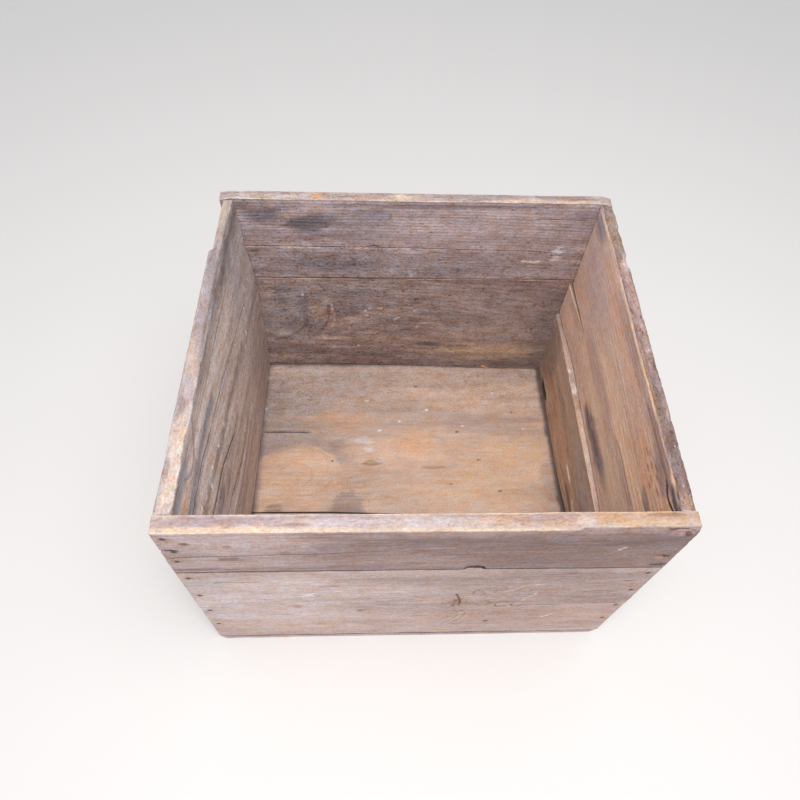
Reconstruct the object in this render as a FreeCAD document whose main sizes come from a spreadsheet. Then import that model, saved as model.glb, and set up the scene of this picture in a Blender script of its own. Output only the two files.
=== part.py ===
"""Old wooden apple crate: thin sawn boards, butt-jointed and nailed, open at the top.

Millimetres, +Z up, front towards -Y. The origin is on the ground, under the middle of the crate.
The long front and rear boards lie across the ends of the side boards, and two bottom boards are
nailed up into the walls. The side boards lean a little to the right, as in any old racked box.
"""
import FreeCAD, Part
import Sketcher
import math
import os

# Driving dimensions: alias, value in millimetres (or degrees, or a count), what it is.
DIMENSIONS = [
    ("crate_height", 266, "overall height, 10 1/2 in"),
    ("front_length", 381, "length of the front boards, 15 in"),
    ("rear_length", 387.5, "length of the rear boards, cut a little longer"),
    ("bottom_length", 381, "length of the bottom boards"),
    ("inside_depth", 329, "from the front boards to the rear boards"),
    ("inside_width", 355, "between the side boards at the front, at the top"),
    ("front_thickness", 14.5, "thickness of the front boards"),
    ("rear_thickness", 12.4, "thickness of the rear boards"),
    ("left_thickness", 13.8, "thickness of the left side board"),
    ("right_upper_thickness", 12, "thickness of the right upper board"),
    ("right_lower_thickness", 14, "thickness of the right lower board"),
    ("right_lower_step", 3, "how far the right lower board stands in from the upper one"),
    ("bottom_thickness", 8, "thickness of the bottom boards"),
    ("front_seam_height", 191, "height of the seam between the front boards"),
    ("rear_seam_height", 161, "height of the seam between the rear boards"),
    ("right_seam_height", 109, "height of the seam between the right boards"),
    ("bottom_seam_depth", 131.5, "from the front face to the seam between the bottom boards"),
    ("seam_gap", 0.5, "open gap in each seam, from shrinkage"),
    ("end_play", 0.8, "how much shorter the side boards are than the inside depth"),
    ("left_lean", 0.6, "angle of the left board from square, degrees"),
    ("right_upper_lean", 1.6, "angle of the right upper board from square, degrees"),
    ("right_lower_lean", 0.8, "angle of the right lower board from square, degrees"),
    ("nail_length", 45, "overall length of a nail"),
    ("nail_diameter", 2.5, "shank diameter"),
    ("nail_head_diameter", 4.8, "head diameter"),
    ("nail_head_thickness", 1.2, "head thickness"),
    ("nail_point_length", 4.5, "length of the ground point"),
    ("front_upper_nails", 2, "nails in each end of the front upper board"),
    ("front_upper_pitch", 42, "their spacing"),
    ("front_upper_first", 213, "height of the lowest one"),
    ("front_lower_nails", 4, "nails in each end of the front lower board"),
    ("front_lower_pitch", 42, "their spacing"),
    ("front_lower_first", 50, "height of the lowest one"),
    ("rear_upper_nails", 3, "nails in each end of the rear upper board"),
    ("rear_upper_pitch", 33, "their spacing"),
    ("rear_upper_first", 180, "height of the lowest one"),
    ("rear_lower_nails", 3, "nails in each end of the rear lower board"),
    ("rear_lower_pitch", 48, "their spacing"),
    ("rear_lower_first", 36, "height of the lowest one"),
    ("bottom_edge_nails", 5, "nails along the front and along the rear edge of the bottom"),
    ("bottom_edge_pitch", 76, "their spacing"),
    ("bottom_side_pitch", 66, "spacing of the bottom nails along the side boards"),
    ("bottom_front_side_nails", 2, "nails of the front bottom board in each side board"),
    ("bottom_rear_side_nails", 3, "nails of the rear bottom board in each side board"),
]

SHEET = "Dimensions"


def cell(alias):
    """The expression that reads one driving dimension."""
    return f"{SHEET}.{alias}"


# Places worked out from the driving dimensions, as expressions in the crate's frame.
HALF_DEPTH = (f"({cell('front_thickness')} + {cell('inside_depth')} + {cell('rear_thickness')}) / 2")
LEFT_LEAN_RUN = f"{cell('inside_depth')} * tan({cell('left_lean')})"
FRONT_FACE = f"-{HALF_DEPTH}"
FRONT_INNER = f"({cell('front_thickness')} - {HALF_DEPTH})"
REAR_INNER = f"({HALF_DEPTH} - {cell('rear_thickness')})"
REAR_FACE = HALF_DEPTH
# The front boards start at the crate's left end and the rear boards stop at its right end.
HALF_WIDTH = f"(({cell('rear_length')} + {LEFT_LEAN_RUN} - {cell('end_play')} / 2) / 2)"
LEFT_OUTER = f"-{HALF_WIDTH}"
REAR_LEFT_END = f"({HALF_WIDTH} - {cell('rear_length')})"
RIGHT_UPPER_INNER = f"({cell('left_thickness')} + {cell('inside_width')} - {HALF_WIDTH})"
RIGHT_LOWER_INNER = f"({RIGHT_UPPER_INNER} - {cell('right_lower_step')})"
SIDE_START = f"({FRONT_INNER} + {cell('end_play')} / 2)"
SIDE_LENGTH = f"({cell('inside_depth')} - {cell('end_play')})"
BOTTOM_SEAM = f"({FRONT_FACE} + {cell('bottom_seam_depth')})"
UPRIGHT_ROW = FreeCAD.Vector(0, 0, 1)


def make_sheet(doc):
    """The spreadsheet of driving dimensions."""
    sheet = doc.addObject("Spreadsheet::Sheet", SHEET)
    for row, (alias, value, meaning) in enumerate(DIMENSIONS, start=1):
        sheet.set(f"A{row}", alias)
        sheet.set(f"B{row}", str(value))
        sheet.set(f"C{row}", meaning)
        sheet.setAlias(f"B{row}", alias)
    doc.recompute()
    return sheet


def place(thing, x, y, z):
    """Bind an object's place to three expressions."""
    for axis, expression in zip("xyz", (x, y, z)):
        thing.setExpression(f"Placement.Base.{axis}", expression)


def origin_feature(body, role):
    """One of a body's own origin planes or axes."""
    return next(f for f in body.Origin.OriginFeatures if f.Role == role)


def nail_profile(body):
    """Half the section of a nail, head at the origin and point towards the sketch's +Y."""
    sketch = body.newObject("Sketcher::SketchObject", f"{body.Name}_profile")
    sketch.AttachmentSupport = [(origin_feature(body, "XZ_Plane"), "")]
    sketch.MapMode = "FlatFace"
    # Rough start values; the constraints below set the real sizes.
    outline = [(0, 0), (3, 0), (3, 1), (1, 1), (1, 40), (0, 45)]
    corners = [FreeCAD.Vector(x, y, 0) for x, y in outline]
    count = len(corners)
    for i in range(count):
        sketch.addGeometry(Part.LineSegment(corners[i], corners[(i + 1) % count]))
    for i in range(count):
        sketch.addConstraint(Sketcher.Constraint("Coincident", i, 2, (i + 1) % count, 1))
    sketch.addConstraint(Sketcher.Constraint("Coincident", 0, 1, -1, 1))
    for edge in (0, 2):
        sketch.addConstraint(Sketcher.Constraint("Horizontal", edge))
    for edge in (1, 3, 5):
        sketch.addConstraint(Sketcher.Constraint("Vertical", edge))
    bind_length(sketch, "head_radius", "DistanceX", 0, f"{cell('nail_head_diameter')} / 2")
    bind_length(sketch, "head_thickness", "DistanceY", 1, cell("nail_head_thickness"))
    straight = f"{cell('nail_length')} - {cell('nail_head_thickness')} - {cell('nail_point_length')}"
    bind_length(sketch, "shank_length", "DistanceY", 3, straight)
    bind_length(sketch, "point_length", "DistanceY", 4, cell("nail_point_length"))
    shank = sketch.addConstraint(Sketcher.Constraint("DistanceX", -1, 1, 3, 1, 1))
    sketch.renameConstraint(shank, "shank_radius")
    sketch.setExpression("Constraints.shank_radius", f"{cell('nail_diameter')} / 2")
    return sketch


def bind_length(sketch, name, kind, edge, expression):
    """Give one edge of a sketch a named length that follows an expression."""
    index = sketch.addConstraint(Sketcher.Constraint(kind, edge, 1, edge, 2, 1))
    sketch.renameConstraint(index, name)
    sketch.setExpression(f"Constraints.{name}", expression)


def nail_row(doc, name, count, pitch, rotation, x, y, z):
    """A straight row of identical nails; the first one's head is at x, y, z."""
    body = doc.addObject("PartDesign::Body", name)
    body.Label = name
    nail = body.newObject("PartDesign::Revolution", f"{name}_nail")
    profile = nail_profile(body)
    nail.Profile = profile
    nail.ReferenceAxis = (profile, ["V_Axis"])
    nail.Angle = 360
    body.Tip = nail
    doc.recompute()
    row = body.newObject("PartDesign::LinearPattern", f"{name}_row")
    row.Originals = [nail]
    row.Direction = (origin_feature(body, "X_Axis"), [""])
    row.setExpression("Occurrences", cell(count))
    row.setExpression("Length", f"({cell(count)} - 1) * {cell(pitch)}")
    body.Tip = row
    body.Placement = FreeCAD.Placement(FreeCAD.Vector(), rotation)
    place(body, x, y, z)
    return body


def facing(nail_direction, row_direction):
    """The rotation that points the nails one way and lays the row out along another."""
    side = nail_direction.cross(row_direction)
    return FreeCAD.Rotation(row_direction, side, nail_direction, "ZXY")


def leaning_rotation(lean):
    """Nails pointing up, in a row along a side board that leans by this angle."""
    angle = math.radians(lean)
    return facing(UPRIGHT_ROW, FreeCAD.Vector(math.sin(angle), math.cos(angle), 0))


def centred_start(low, high, count, pitch):
    """Where a row starts when it is centred between two expressions."""
    return f"({low} + {high} - ({cell(count)} - 1) * {cell(pitch)}) / 2"


def side_centre(inner_or_outer, thickness, lean, at_rear):
    """The middle of a side board's thickness, at its front or its rear end."""
    run = f" + {cell('inside_depth')} * tan({cell(lean)})" if at_rear else ""
    return f"({inner_or_outer} + {cell(thickness)} / 2{run})"


def wall_nails(doc):
    """The nails through the front and rear boards into the ends of the side boards."""
    inward = FreeCAD.Vector(0, 1, 0)
    left = (LEFT_OUTER, "left_thickness", "left_lean")
    upper = (RIGHT_UPPER_INNER, "right_upper_thickness", "right_upper_lean")
    lower = (RIGHT_LOWER_INNER, "right_lower_thickness", "right_lower_lean")
    rows = {}
    for wall, face, direction in (("front", FRONT_FACE, inward), ("rear", REAR_FACE, -inward)):
        rear = wall == "rear"
        rotation = facing(direction, UPRIGHT_ROW)
        right_upper = side_centre(*upper, rear)
        # The lower board's nails enter both right boards, so they keep to the middle of the two.
        right_both = f"(({right_upper} + {side_centre(*lower, rear)}) / 2)"
        columns = {"upper": right_upper, "lower": right_both}
        for level in ("upper", "lower"):
            count, pitch = f"{wall}_{level}_nails", f"{wall}_{level}_pitch"
            start = cell(f"{wall}_{level}_first")
            for side, x in (("left", side_centre(*left, rear)), ("right", columns[level])):
                name = f"nails_{wall}_{level}_{side}"
                rows[name] = nail_row(doc, name, count, pitch, rotation, x, face, start)
    return rows


def bottom_nails(doc, sheet):
    """The nails up through the bottom boards into the walls."""
    rows = {}
    along_x = FreeCAD.Rotation()
    start = centred_start("0", "0", "bottom_edge_nails", "bottom_edge_pitch")
    edges = {
        "front": f"{FRONT_FACE} + {cell('front_thickness')} / 2",
        "rear": f"{REAR_FACE} - {cell('rear_thickness')} / 2",
    }
    for edge, y in edges.items():
        name = f"nails_bottom_{edge}_edge"
        rows[name] = nail_row(
            doc, name, "bottom_edge_nails", "bottom_edge_pitch", along_x, start, y, "0")
    sides = {
        "left": (LEFT_OUTER, "left_thickness", "left_lean"),
        "right": (RIGHT_LOWER_INNER, "right_lower_thickness", "right_lower_lean"),
    }
    # They stay clear of the nails that come in through the front and rear boards.
    front_reach = f"({FRONT_FACE} + {cell('nail_length')})"
    rear_reach = f"({REAR_FACE} - {cell('nail_length')})"
    spans = {"front": (front_reach, BOTTOM_SEAM), "rear": (BOTTOM_SEAM, rear_reach)}
    for end, (low, high) in spans.items():
        count = f"bottom_{end}_side_nails"
        y = centred_start(low, high, count, "bottom_side_pitch")
        for side, (edge, thickness, lean) in sides.items():
            name = f"nails_bottom_{end}_{side}"
            x = f"{edge} + {cell(thickness)} / 2 + ({y} - {FRONT_INNER}) * tan({cell(lean)})"
            rotation = leaning_rotation(sheet.get(lean))
            rows[name] = nail_row(doc, name, count, "bottom_side_pitch", rotation, x, y, "0")
    return rows


def board(doc, name, size, corner, nails, lean=None):
    """A sawn board of this size from this corner, cut by the nails that pass through it."""
    blank = doc.addObject("Part::Box", f"{name}_blank")
    for side, expression in zip(("Length", "Width", "Height"), size):
        blank.setExpression(side, expression)
    if lean:
        blank.Placement.Rotation = FreeCAD.Rotation(UPRIGHT_ROW, -1)
        blank.setExpression("Placement.Rotation.Angle", f"-{cell(lean)}")
    place(blank, *corner)
    holes = doc.addObject("Part::Compound", f"{name}_holes")
    holes.Links = nails
    cut = doc.addObject("Part::Cut", name)
    cut.Label = name
    cut.Base = blank
    cut.Tool = holes
    return cut


def long_boards(doc, nails):
    """The front and rear boards, which cover the ends of the side boards."""
    boards = []
    walls = (("front", LEFT_OUTER, FRONT_FACE), ("rear", REAR_LEFT_END, REAR_INNER))
    for wall, x, y in walls:
        seam = cell(f"{wall}_seam_height")
        size = [cell(f"{wall}_length"), cell(f"{wall}_thickness")]
        top = f"{cell('crate_height')} - {seam}"
        foot = f"{seam} - {cell('seam_gap')} - {cell('bottom_thickness')}"
        ends = {level: [nails[f"nails_{wall}_{level}_{side}"] for side in ("left", "right")]
                for level in ("upper", "lower")}
        boards.append(board(doc, f"{wall}_upper_board", size + [top], (x, y, seam), ends["upper"]))
        boards.append(board(
            doc, f"{wall}_lower_board", size + [foot], (x, y, cell("bottom_thickness")),
            ends["lower"] + [nails[f"nails_bottom_{wall}_edge"]]))
    return boards


def side_boards(doc, nails):
    """The left board in one width, and the two right boards."""
    floor = cell("bottom_thickness")
    seam = cell("right_seam_height")
    full = f"{cell('crate_height')} - {floor}"
    top = f"{cell('crate_height')} - {seam}"
    foot = f"{seam} - {cell('seam_gap')} - {floor}"
    left = [row for name, row in nails.items() if name.endswith("left")]
    right = {name: row for name, row in nails.items() if name.endswith("right")}
    right_upper = [row for name, row in right.items() if "bottom" not in name]
    right_lower = [row for name, row in right.items() if "upper" not in name]
    return [
        board(doc, "left_side_board", (cell("left_thickness"), SIDE_LENGTH, full),
              (LEFT_OUTER, SIDE_START, floor), left, "left_lean"),
        board(doc, "right_upper_board", (cell("right_upper_thickness"), SIDE_LENGTH, top),
              (RIGHT_UPPER_INNER, SIDE_START, seam), right_upper, "right_upper_lean"),
        board(doc, "right_lower_board", (cell("right_lower_thickness"), SIDE_LENGTH, foot),
              (RIGHT_LOWER_INNER, SIDE_START, floor), right_lower, "right_lower_lean"),
    ]


def bottom_boards(doc, nails):
    """The two bottom boards; the rear one has slid to the right with the racked sides."""
    rear_width = f"{REAR_FACE} - {BOTTOM_SEAM} - {cell('seam_gap')}"
    slid = f"({LEFT_OUTER} + {LEFT_LEAN_RUN})"
    boards = []
    for end, x, y, width in (
            ("front", LEFT_OUTER, FRONT_FACE, cell("bottom_seam_depth")),
            ("rear", slid, f"({BOTTOM_SEAM} + {cell('seam_gap')})", rear_width)):
        through = [nails[f"nails_bottom_{end}_{part}"] for part in ("edge", "left", "right")]
        size = (cell("bottom_length"), width, cell("bottom_thickness"))
        boards.append(board(doc, f"bottom_{end}_board", size, (x, y, "0"), through))
    return boards


def check(doc, parts):
    """Stop if anything failed to build, or if a nail hole wasn't cut."""
    for thing in doc.Objects:
        if {"Invalid", "Error"} & set(thing.State):
            raise RuntimeError(f"{thing.Label} is {thing.State}")
    for part in parts:
        if part.Shape.isNull() or not part.Shape.isValid():
            raise RuntimeError(f"{part.Label} has no valid shape")
        if part.TypeId == "Part::Cut" and part.Shape.Volume >= part.Base.Shape.Volume:
            raise RuntimeError(f"{part.Label} has no nail holes")


def write(parts):
    """One STEP file for each sub-part, named by its label."""
    os.makedirs("parts", exist_ok=True)
    for part in parts:
        part.Shape.exportStep(f"parts/{part.Label}.step")


def main():
    doc = FreeCAD.newDocument("apple_crate")
    sheet = make_sheet(doc)
    nails = wall_nails(doc)
    nails.update(bottom_nails(doc, sheet))
    doc.recompute()
    boards = long_boards(doc, nails) + side_boards(doc, nails) + bottom_boards(doc, nails)
    doc.recompute()
    parts = boards + list(nails.values())
    check(doc, parts)
    write(parts)
    whole = Part.makeCompound([part.Shape for part in parts])
    print(len(parts), "sub-parts,", len(whole.Solids), "solids,", whole.BoundBox)


main()
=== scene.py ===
"""The looks of an old wooden apple crate: weathered boards and rusty nails, around its CAD frame.

Each board is a closed grid that follows its own grain. Cracks, chips, knots, worn arrises and the
raised grain are cut into the mesh; stains, bare patches and painted light and shade (near-black
gaps, cracks and seams, lighter or darker faces) are painted on its points, and the material adds
rings, fibres, pores and dust. Lengths are millimetres in the crate's frame until a mesh is written:
x to the right, y to the rear, z up.
"""
import math

import bpy
import numpy as np
from mathutils import Euler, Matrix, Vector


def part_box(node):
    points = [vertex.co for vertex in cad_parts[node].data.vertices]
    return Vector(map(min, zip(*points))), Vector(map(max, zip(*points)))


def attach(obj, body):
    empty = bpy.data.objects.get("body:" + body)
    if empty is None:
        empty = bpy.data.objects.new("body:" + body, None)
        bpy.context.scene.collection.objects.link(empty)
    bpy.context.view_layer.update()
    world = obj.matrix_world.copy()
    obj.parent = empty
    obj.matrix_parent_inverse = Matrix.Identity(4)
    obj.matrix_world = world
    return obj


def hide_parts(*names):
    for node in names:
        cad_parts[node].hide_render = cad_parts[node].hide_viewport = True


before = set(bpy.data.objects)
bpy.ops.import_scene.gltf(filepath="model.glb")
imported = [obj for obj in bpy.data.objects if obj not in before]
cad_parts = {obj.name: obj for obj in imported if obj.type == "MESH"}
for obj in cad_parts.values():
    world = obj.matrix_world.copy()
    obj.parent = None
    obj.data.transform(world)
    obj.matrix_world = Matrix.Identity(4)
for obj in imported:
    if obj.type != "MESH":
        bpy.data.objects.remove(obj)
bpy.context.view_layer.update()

MM = 0.001
LEFT_THICKNESS, LEFT_LEAN = 13.8, 0.6
RIGHT_UPPER_THICKNESS, RIGHT_UPPER_LEAN = 12.0, 1.6
RIGHT_LOWER_THICKNESS, RIGHT_LOWER_LEAN = 14.0, 0.8


# ---------------------------------------------------------------- noise and small formulas

def lattice(i, j, seed):
    """A fixed random value from -1 to 1 for each whole-number point."""
    n = (i * 374761393 + j * 668265263 + seed * 974634777) & 0xFFFFFFFF
    n = ((n ^ (n >> 13)) * 1274126177) & 0xFFFFFFFF
    return ((n ^ (n >> 16)) & 0xFFFF) / 32767.5 - 1


def noise(x, y, seed):
    """Smooth noise from -1 to 1, one bump per unit."""
    x, y = np.broadcast_arrays(x, y)
    i, j = np.floor(x).astype(np.int64), np.floor(y).astype(np.int64)
    fx, fy = x - i, y - j
    fx, fy = fx * fx * (3 - 2 * fx), fy * fy * (3 - 2 * fy)
    low = lattice(i, j, seed) * (1 - fx) + lattice(i + 1, j, seed) * fx
    high = lattice(i, j + 1, seed) * (1 - fx) + lattice(i + 1, j + 1, seed) * fx
    return low * (1 - fy) + high * fy


def rough(x, y, seed, octaves=3):
    """Noise with finer and finer detail."""
    total, size = 0, 1.0
    for octave in range(octaves):
        total = total + noise(x * 2 ** octave, y * 2 ** octave, seed + octave * 17) * size
        size *= 0.5
    return total / (2 - size * 2)


def ramp(low, high, x):
    """0 below low, 1 above high, smooth between. low may be above high."""
    s = np.clip((x - low) / (high - low), 0, 1)
    return s * s * (3 - 2 * s)


def stations(length, step, zones):
    """Grid lines from 0 to length, closer together inside each zone (low, high, step)."""
    marks = [0.0]
    while marks[-1] < length - 1e-6:
        here, hop = marks[-1], step
        for low, high, fine in zones:
            if low - fine / 2 <= here < high:
                hop = min(hop, fine)
            elif here < low:
                hop = min(hop, max(low - here, fine))
        marks.append(here + hop)
    marks = np.array(marks)
    return marks * length / marks[-1]


def smooth_path(points):
    """The points of a Catmull-Rom curve through a few given ones."""
    steps = 5
    p = np.array(points, float)
    if len(p) < 3:
        return p
    p = np.vstack([2 * p[0] - p[1], p, 2 * p[-1] - p[-2]])
    path = []
    for p0, p1, p2, p3 in zip(p, p[1:], p[2:], p[3:]):
        for s in np.arange(steps) / steps:
            path.append(0.5 * (2 * p1 + (p2 - p0) * s + (2 * p0 - 5 * p1 + 4 * p2 - p3) * s ** 2
                               + (3 * p1 - p0 - 3 * p2 + p3) * s ** 3))
    return np.array(path + [p[-2]])


def linear(colour):
    """0-255 screen colours as the linear values that a shader works in."""
    c = np.asarray(colour, float) / 255
    return np.where(c <= 0.04045, c / 12.92, ((c + 0.055) / 1.055) ** 2.4)


# ---------------------------------------------------------------- boards

FACES = ("outer", "inner", "bottom", "top", "start", "end")
ARRIS_ZONE = 3.2
# The colour of the painted shade and stain in the soft band beside a crack.
SHADE_AND_STAIN = (74, 62, 66)


class Board:
    """A board as a grid of points: a along the grain, b across it, w from the outer face inwards."""

    def __init__(self, node, axes, thickness=None, lean=0.0, lines=(), *, seed, step=2.3, row=1.0,
                 fine=()):
        low, high = (np.array(c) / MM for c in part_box(node))
        self.node, self.seed = node, seed
        along, across, through = (self.axis(name, lean) for name in axes)
        corner = np.where(np.array([along, across, through]).sum(0) > 0, low, high)
        if thickness is None:
            thickness = abs((high - low) @ through)
        else:
            corner[1] = low[1] + thickness * math.sin(math.radians(lean))
            if through[0] < 0:
                corner[0] = low[0] + thickness * math.cos(math.radians(lean))
                corner[1] = low[1]
        self.axes = np.array([along, across, through])
        self.corner, self.thickness = corner, thickness
        self.length = ((high - low) @ np.abs(along)) if not lean else (
            high[1] - low[1] - thickness * math.sin(math.radians(lean))) / math.cos(math.radians(lean))
        self.width = (high - low) @ np.abs(across)
        self.a0, self.b0 = corner @ np.round(along), corner @ np.round(across)
        self.grid(lines, step, row, fine)

    @staticmethod
    def axis(name, lean):
        """x, y or z, or -x, -y or -z, turned by the board's lean about the vertical."""
        v = {"x": (1, 0, 0), "y": (0, 1, 0), "z": (0, 0, 1)}[name[-1]]
        v = np.array(v, float) * (-1 if name[0] == "-" else 1)
        c, s = math.cos(math.radians(lean)), math.sin(math.radians(lean))
        return np.array([v[0] * c + v[1] * s, v[1] * c - v[0] * s, v[2]])

    def grid(self, lines, step, row, fine):
        """The points, with a row of them along every line that the grain or a crack follows."""
        ends = [(0, 14, 0.8), (self.length - 14, self.length, 0.8)]
        us = stations(self.length, step, ends + [(lo - self.a0, hi - self.a0, s) for lo, hi, s in fine])
        a = us + self.a0
        self.lines = [np.interp(a, *np.array(points, float).T) for points in lines]
        wander = [0.5 * rough(a / 30, 3.7 * n, self.seed + 5) for n in range(len(self.lines))]
        tracks = [line + w for line, w in zip(self.lines, wander)]
        flow = np.column_stack([np.full_like(a, self.b0), *tracks, np.full_like(a, self.b0 + self.width)])
        marks = flow.mean(0)
        parts = []
        for n in range(len(marks) - 1):
            gap = marks[n + 1] - marks[n]
            near, far = ((ARRIS_ZONE, 0.5) if end else (1.3, 0.33) for end in
                         (n == 0, n == len(marks) - 2))
            zones = [(0, near[0], near[1]), (gap - far[0], gap, far[1])]
            parts.append(marks[n] + stations(gap, row, zones)[:-1])
        ts = np.append(np.concatenate(parts), marks[-1])
        self.marks = marks[1:-1]
        ws = stations(self.thickness, 1.2, [(0, 2.4, 0.6), (self.thickness - 2.4, self.thickness, 0.6)])
        shape = (len(us), len(ts), len(ws))
        skin = np.zeros(shape, bool)
        skin[[0, -1]] = skin[:, [0, -1]] = skin[:, :, [0, -1]] = True
        self.index = np.cumsum(skin).reshape(shape) - 1
        i, j, k = np.nonzero(skin)
        across = np.array([np.interp(ts, marks, column) for column in flow])
        self.a, self.b, self.w, self.t = a[i], across[i, j], ws[k], ts[j]
        self.a_box, self.b_box = self.a - self.a0, self.t - marks[0]
        self.on = dict(zip(FACES, (k == 0, k == shape[2] - 1, j == 0, j == shape[1] - 1, i == 0,
                                   i == shape[0] - 1)))
        share = self.w / self.thickness
        self.share = {"outer": 1 - share, "inner": share}
        self.cut = {face: np.zeros(len(self.a)) for face in FACES}
        self.bend = np.zeros(len(self.a))
        self.colour = np.full((len(self.a), 3), 128.0)
        # Painted shade in cracks, gaps and seams, and grime; the material mixes it to near black.
        self.shade_and_grime = np.zeros(len(self.a))
        self.pale = np.zeros(len(self.a))
        self.lined = np.full(len(self.a), 0.08)
        self.aged = np.full(len(self.a), 0.35)
        self.radius = 0.9 + 0.5 * rough(self.a / 16, (self.b_box > self.width / 2) * 3.3
                                        + (share > 0.5) * 7.1, self.seed + 9)
        self.grain_b = self.t + 2.2 * rough(self.a / 60, self.t / 22, self.seed + 4)
        self.ring = self.t / 4

    # ---- shape

    def cross(self, face):
        """The second coordinate on a face: b on the wide faces, w on the edges."""
        return self.b if face in ("outer", "inner") else self.w

    def near(self, face, a, b, ra, rb, soft, ragged, scale=7.0):
        """1 inside an oval with a ragged edge, 0 outside. On an end, a runs across the board."""
        x = self.b if face in ("start", "end") else self.a
        y = self.cross(face)
        wobble = ragged * rough(x / scale, y / scale * 2.2, self.seed + int(abs(a) * 7 + abs(b) * 3))
        d = np.hypot((x - a) / ra, (y - b) / rb) + wobble
        return ramp(1 + soft, 1 - soft, d)

    def crack(self, line, a0, a1, depth, half, face="inner", dark=0.9, lips=0.0, shade=0.0):
        """A groove along one of the board's grain lines, tapering to nothing at both ends. dark paints
        painted shade in the groove, shade a soft band of painted shade and stain beside it, lips pale lips.
        """
        along = ramp(a0, a0 + 12, self.a) * ramp(a1, a1 - 12, self.a)
        along = along * (0.75 + 0.35 * rough(self.a / 9, 0.0, self.seed + line * 31))
        off = np.abs(self.t - self.marks[line])
        self.cut[face] += depth * along * np.clip(1 - off / (half * 1.6), 0, 1)
        mark = dark * np.clip(along * 1.6, 0, 1) * ramp(half * 1.5, half * 0.35, off)
        self.shade_and_grime = np.where(self.on[face], np.maximum(self.shade_and_grime, mark), self.shade_and_grime)
        if shade:
            band = along * ramp(half * 5, half, off + 0.4 * noise(self.a / 7, self.t / 2, self.seed))
            self.blend_to(shade * band * self.on[face], SHADE_AND_STAIN)
        if lips:
            lip = along * ramp(half * 4.5, half * 1.5, off) * (off > half)
            self.pale = np.where(self.on[face], np.maximum(self.pale, lips * lip), self.pale)

    def dent(self, face, a, b, ra, rb, depth, soft):
        """A hollow or chip in a face."""
        self.cut[face] += depth * self.near(face, a, b, ra, rb, soft, ragged=0.25)

    def bite(self, edge, a, reach, depth, soft):
        """A piece broken out of the top or bottom edge, through the whole thickness."""
        ragged = 1.2 * rough(self.a / 5, self.w / 4, self.seed + int(a * 3) % 97)
        shape = ramp(reach + soft, reach - soft, np.abs(self.a - a) + ragged)
        self.cut[edge] += depth * shape * (1 + 0.15 * rough(self.a / 2.5, self.w, self.seed))

    # ---- paint

    def base(self, face, light, dark, stretch=(70, 9), seed=0):
        """Two tones in long streaks over a face."""
        x, y = (self.b, self.w) if face in ("start", "end") else (self.a, self.cross(face))
        if face in ("outer", "inner"):
            y = self.grain_b
        s = self.seed + 100 + seed
        mix = rough(x / stretch[0], y / stretch[1], s, 4) + 0.16 * noise(x / 30, y / 1.7, s + 3)
        mix = mix + 0.45 * rough(x / 13, y / 6, s + 5)
        mix = np.clip(0.5 + 0.6 * mix, 0, 1)[:, None]
        tone = np.array(light) * mix + np.array(dark) * (1 - mix)
        self.colour = np.where(self.on[face][:, None], tone, self.colour)

    def blend_to(self, mask, colour):
        """Move the painted tone towards a colour by the mask."""
        mask = np.clip(mask, 0, 1)[:, None]
        self.colour = self.colour * (1 - mask) + np.array(colour, float) * mask

    def stain(self, face, a, b, ra, rb, colour, strength=0.7, soft=0.5, ragged=0.45, scale=9.0):
        """An oval stain, bare patch or patch of painted shade, broken up along the grain."""
        mask = self.near(face, a, b, ra, rb, soft, ragged, scale)
        streaks = 0.8 + 0.35 * noise(self.a / 24, self.cross(face) / 1.3, self.seed + 57)
        self.blend_to(mask * strength * streaks * self.on[face], colour)

    def stroke(self, face, points, width, colour, strength=0.8, depth=0.0):
        """A line drawn through points, as a scratch, a torn fibre or a dark streak."""
        x, y = self.a, self.cross(face)
        best = np.full(len(x), 1e9)
        points = smooth_path(points)
        for (xa, ya), (xb, yb) in zip(points, points[1:]):
            s = np.clip(((x - xa) * (xb - xa) + (y - ya) * (yb - ya))
                        / ((xb - xa) ** 2 + (yb - ya) ** 2), 0, 1)
            best = np.minimum(best, np.hypot(x - xa - s * (xb - xa), y - ya - s * (yb - ya)))
        mask = ramp(width, width * 0.3, best + 0.25 * width * noise(x / 4, y / 2, self.seed))
        self.blend_to(mask * strength * self.on[face], colour)
        self.cut[face] += depth * mask

    def lighten(self, by):
        """Lighter where by is over 0, darker where it is under 0."""
        self.colour = self.colour * (1 + by)[:, None]

    def stains(self, face, rows, **how):
        """Several stains, each (a, b, half length, half width, colour, strength)."""
        for row in rows:
            self.stain(face, *row, **how)

    def strokes(self, face, rows):
        """Several lines, each (points, width, colour, strength, depth)."""
        for row in rows:
            self.stroke(face, *row)

    def seam(self, edge, strength, reach):
        """Dirt and shade along an edge that butts against the next board."""
        gap = self.b_box if edge == "bottom" else self.width - self.b_box
        edge_noise = 0.5 * rough(self.a / 12, self.w / 6, self.seed + 61)
        self.shade_and_grime = np.maximum(self.shade_and_grime, strength * ramp(reach, reach * 0.35, gap + edge_noise))

    def tone(self, face, red, green, blue):
        """Lighten or darken all of a face, by factors of the light it returns: painted light and shade that
        make up for the light the lamps give that face.
        """
        gain = np.power((red, green, blue), 1 / 2.2)
        self.colour = np.where(self.on[face][:, None], self.colour * gain, self.colour)

    def knot(self, a, b, r, spread, pull):
        """Turn the grain around a knot and ring the knot itself."""
        da, db = self.a - a, self.b - b
        d = np.hypot(da * 0.8, db)
        push = pull * r * np.exp(-(da / (r * spread)) ** 2 - np.abs(db) / (r * spread))
        shift = np.sign(db) * push * (1 - np.exp(-np.abs(db) / r))
        self.grain_b = self.grain_b - shift
        self.ring = self.ring - shift / 3
        core = ramp(r * 1.15, r * 0.85, d)
        self.ring = self.ring * (1 - core) + (d / 1.6) * core

    # ---- mesh

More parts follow.
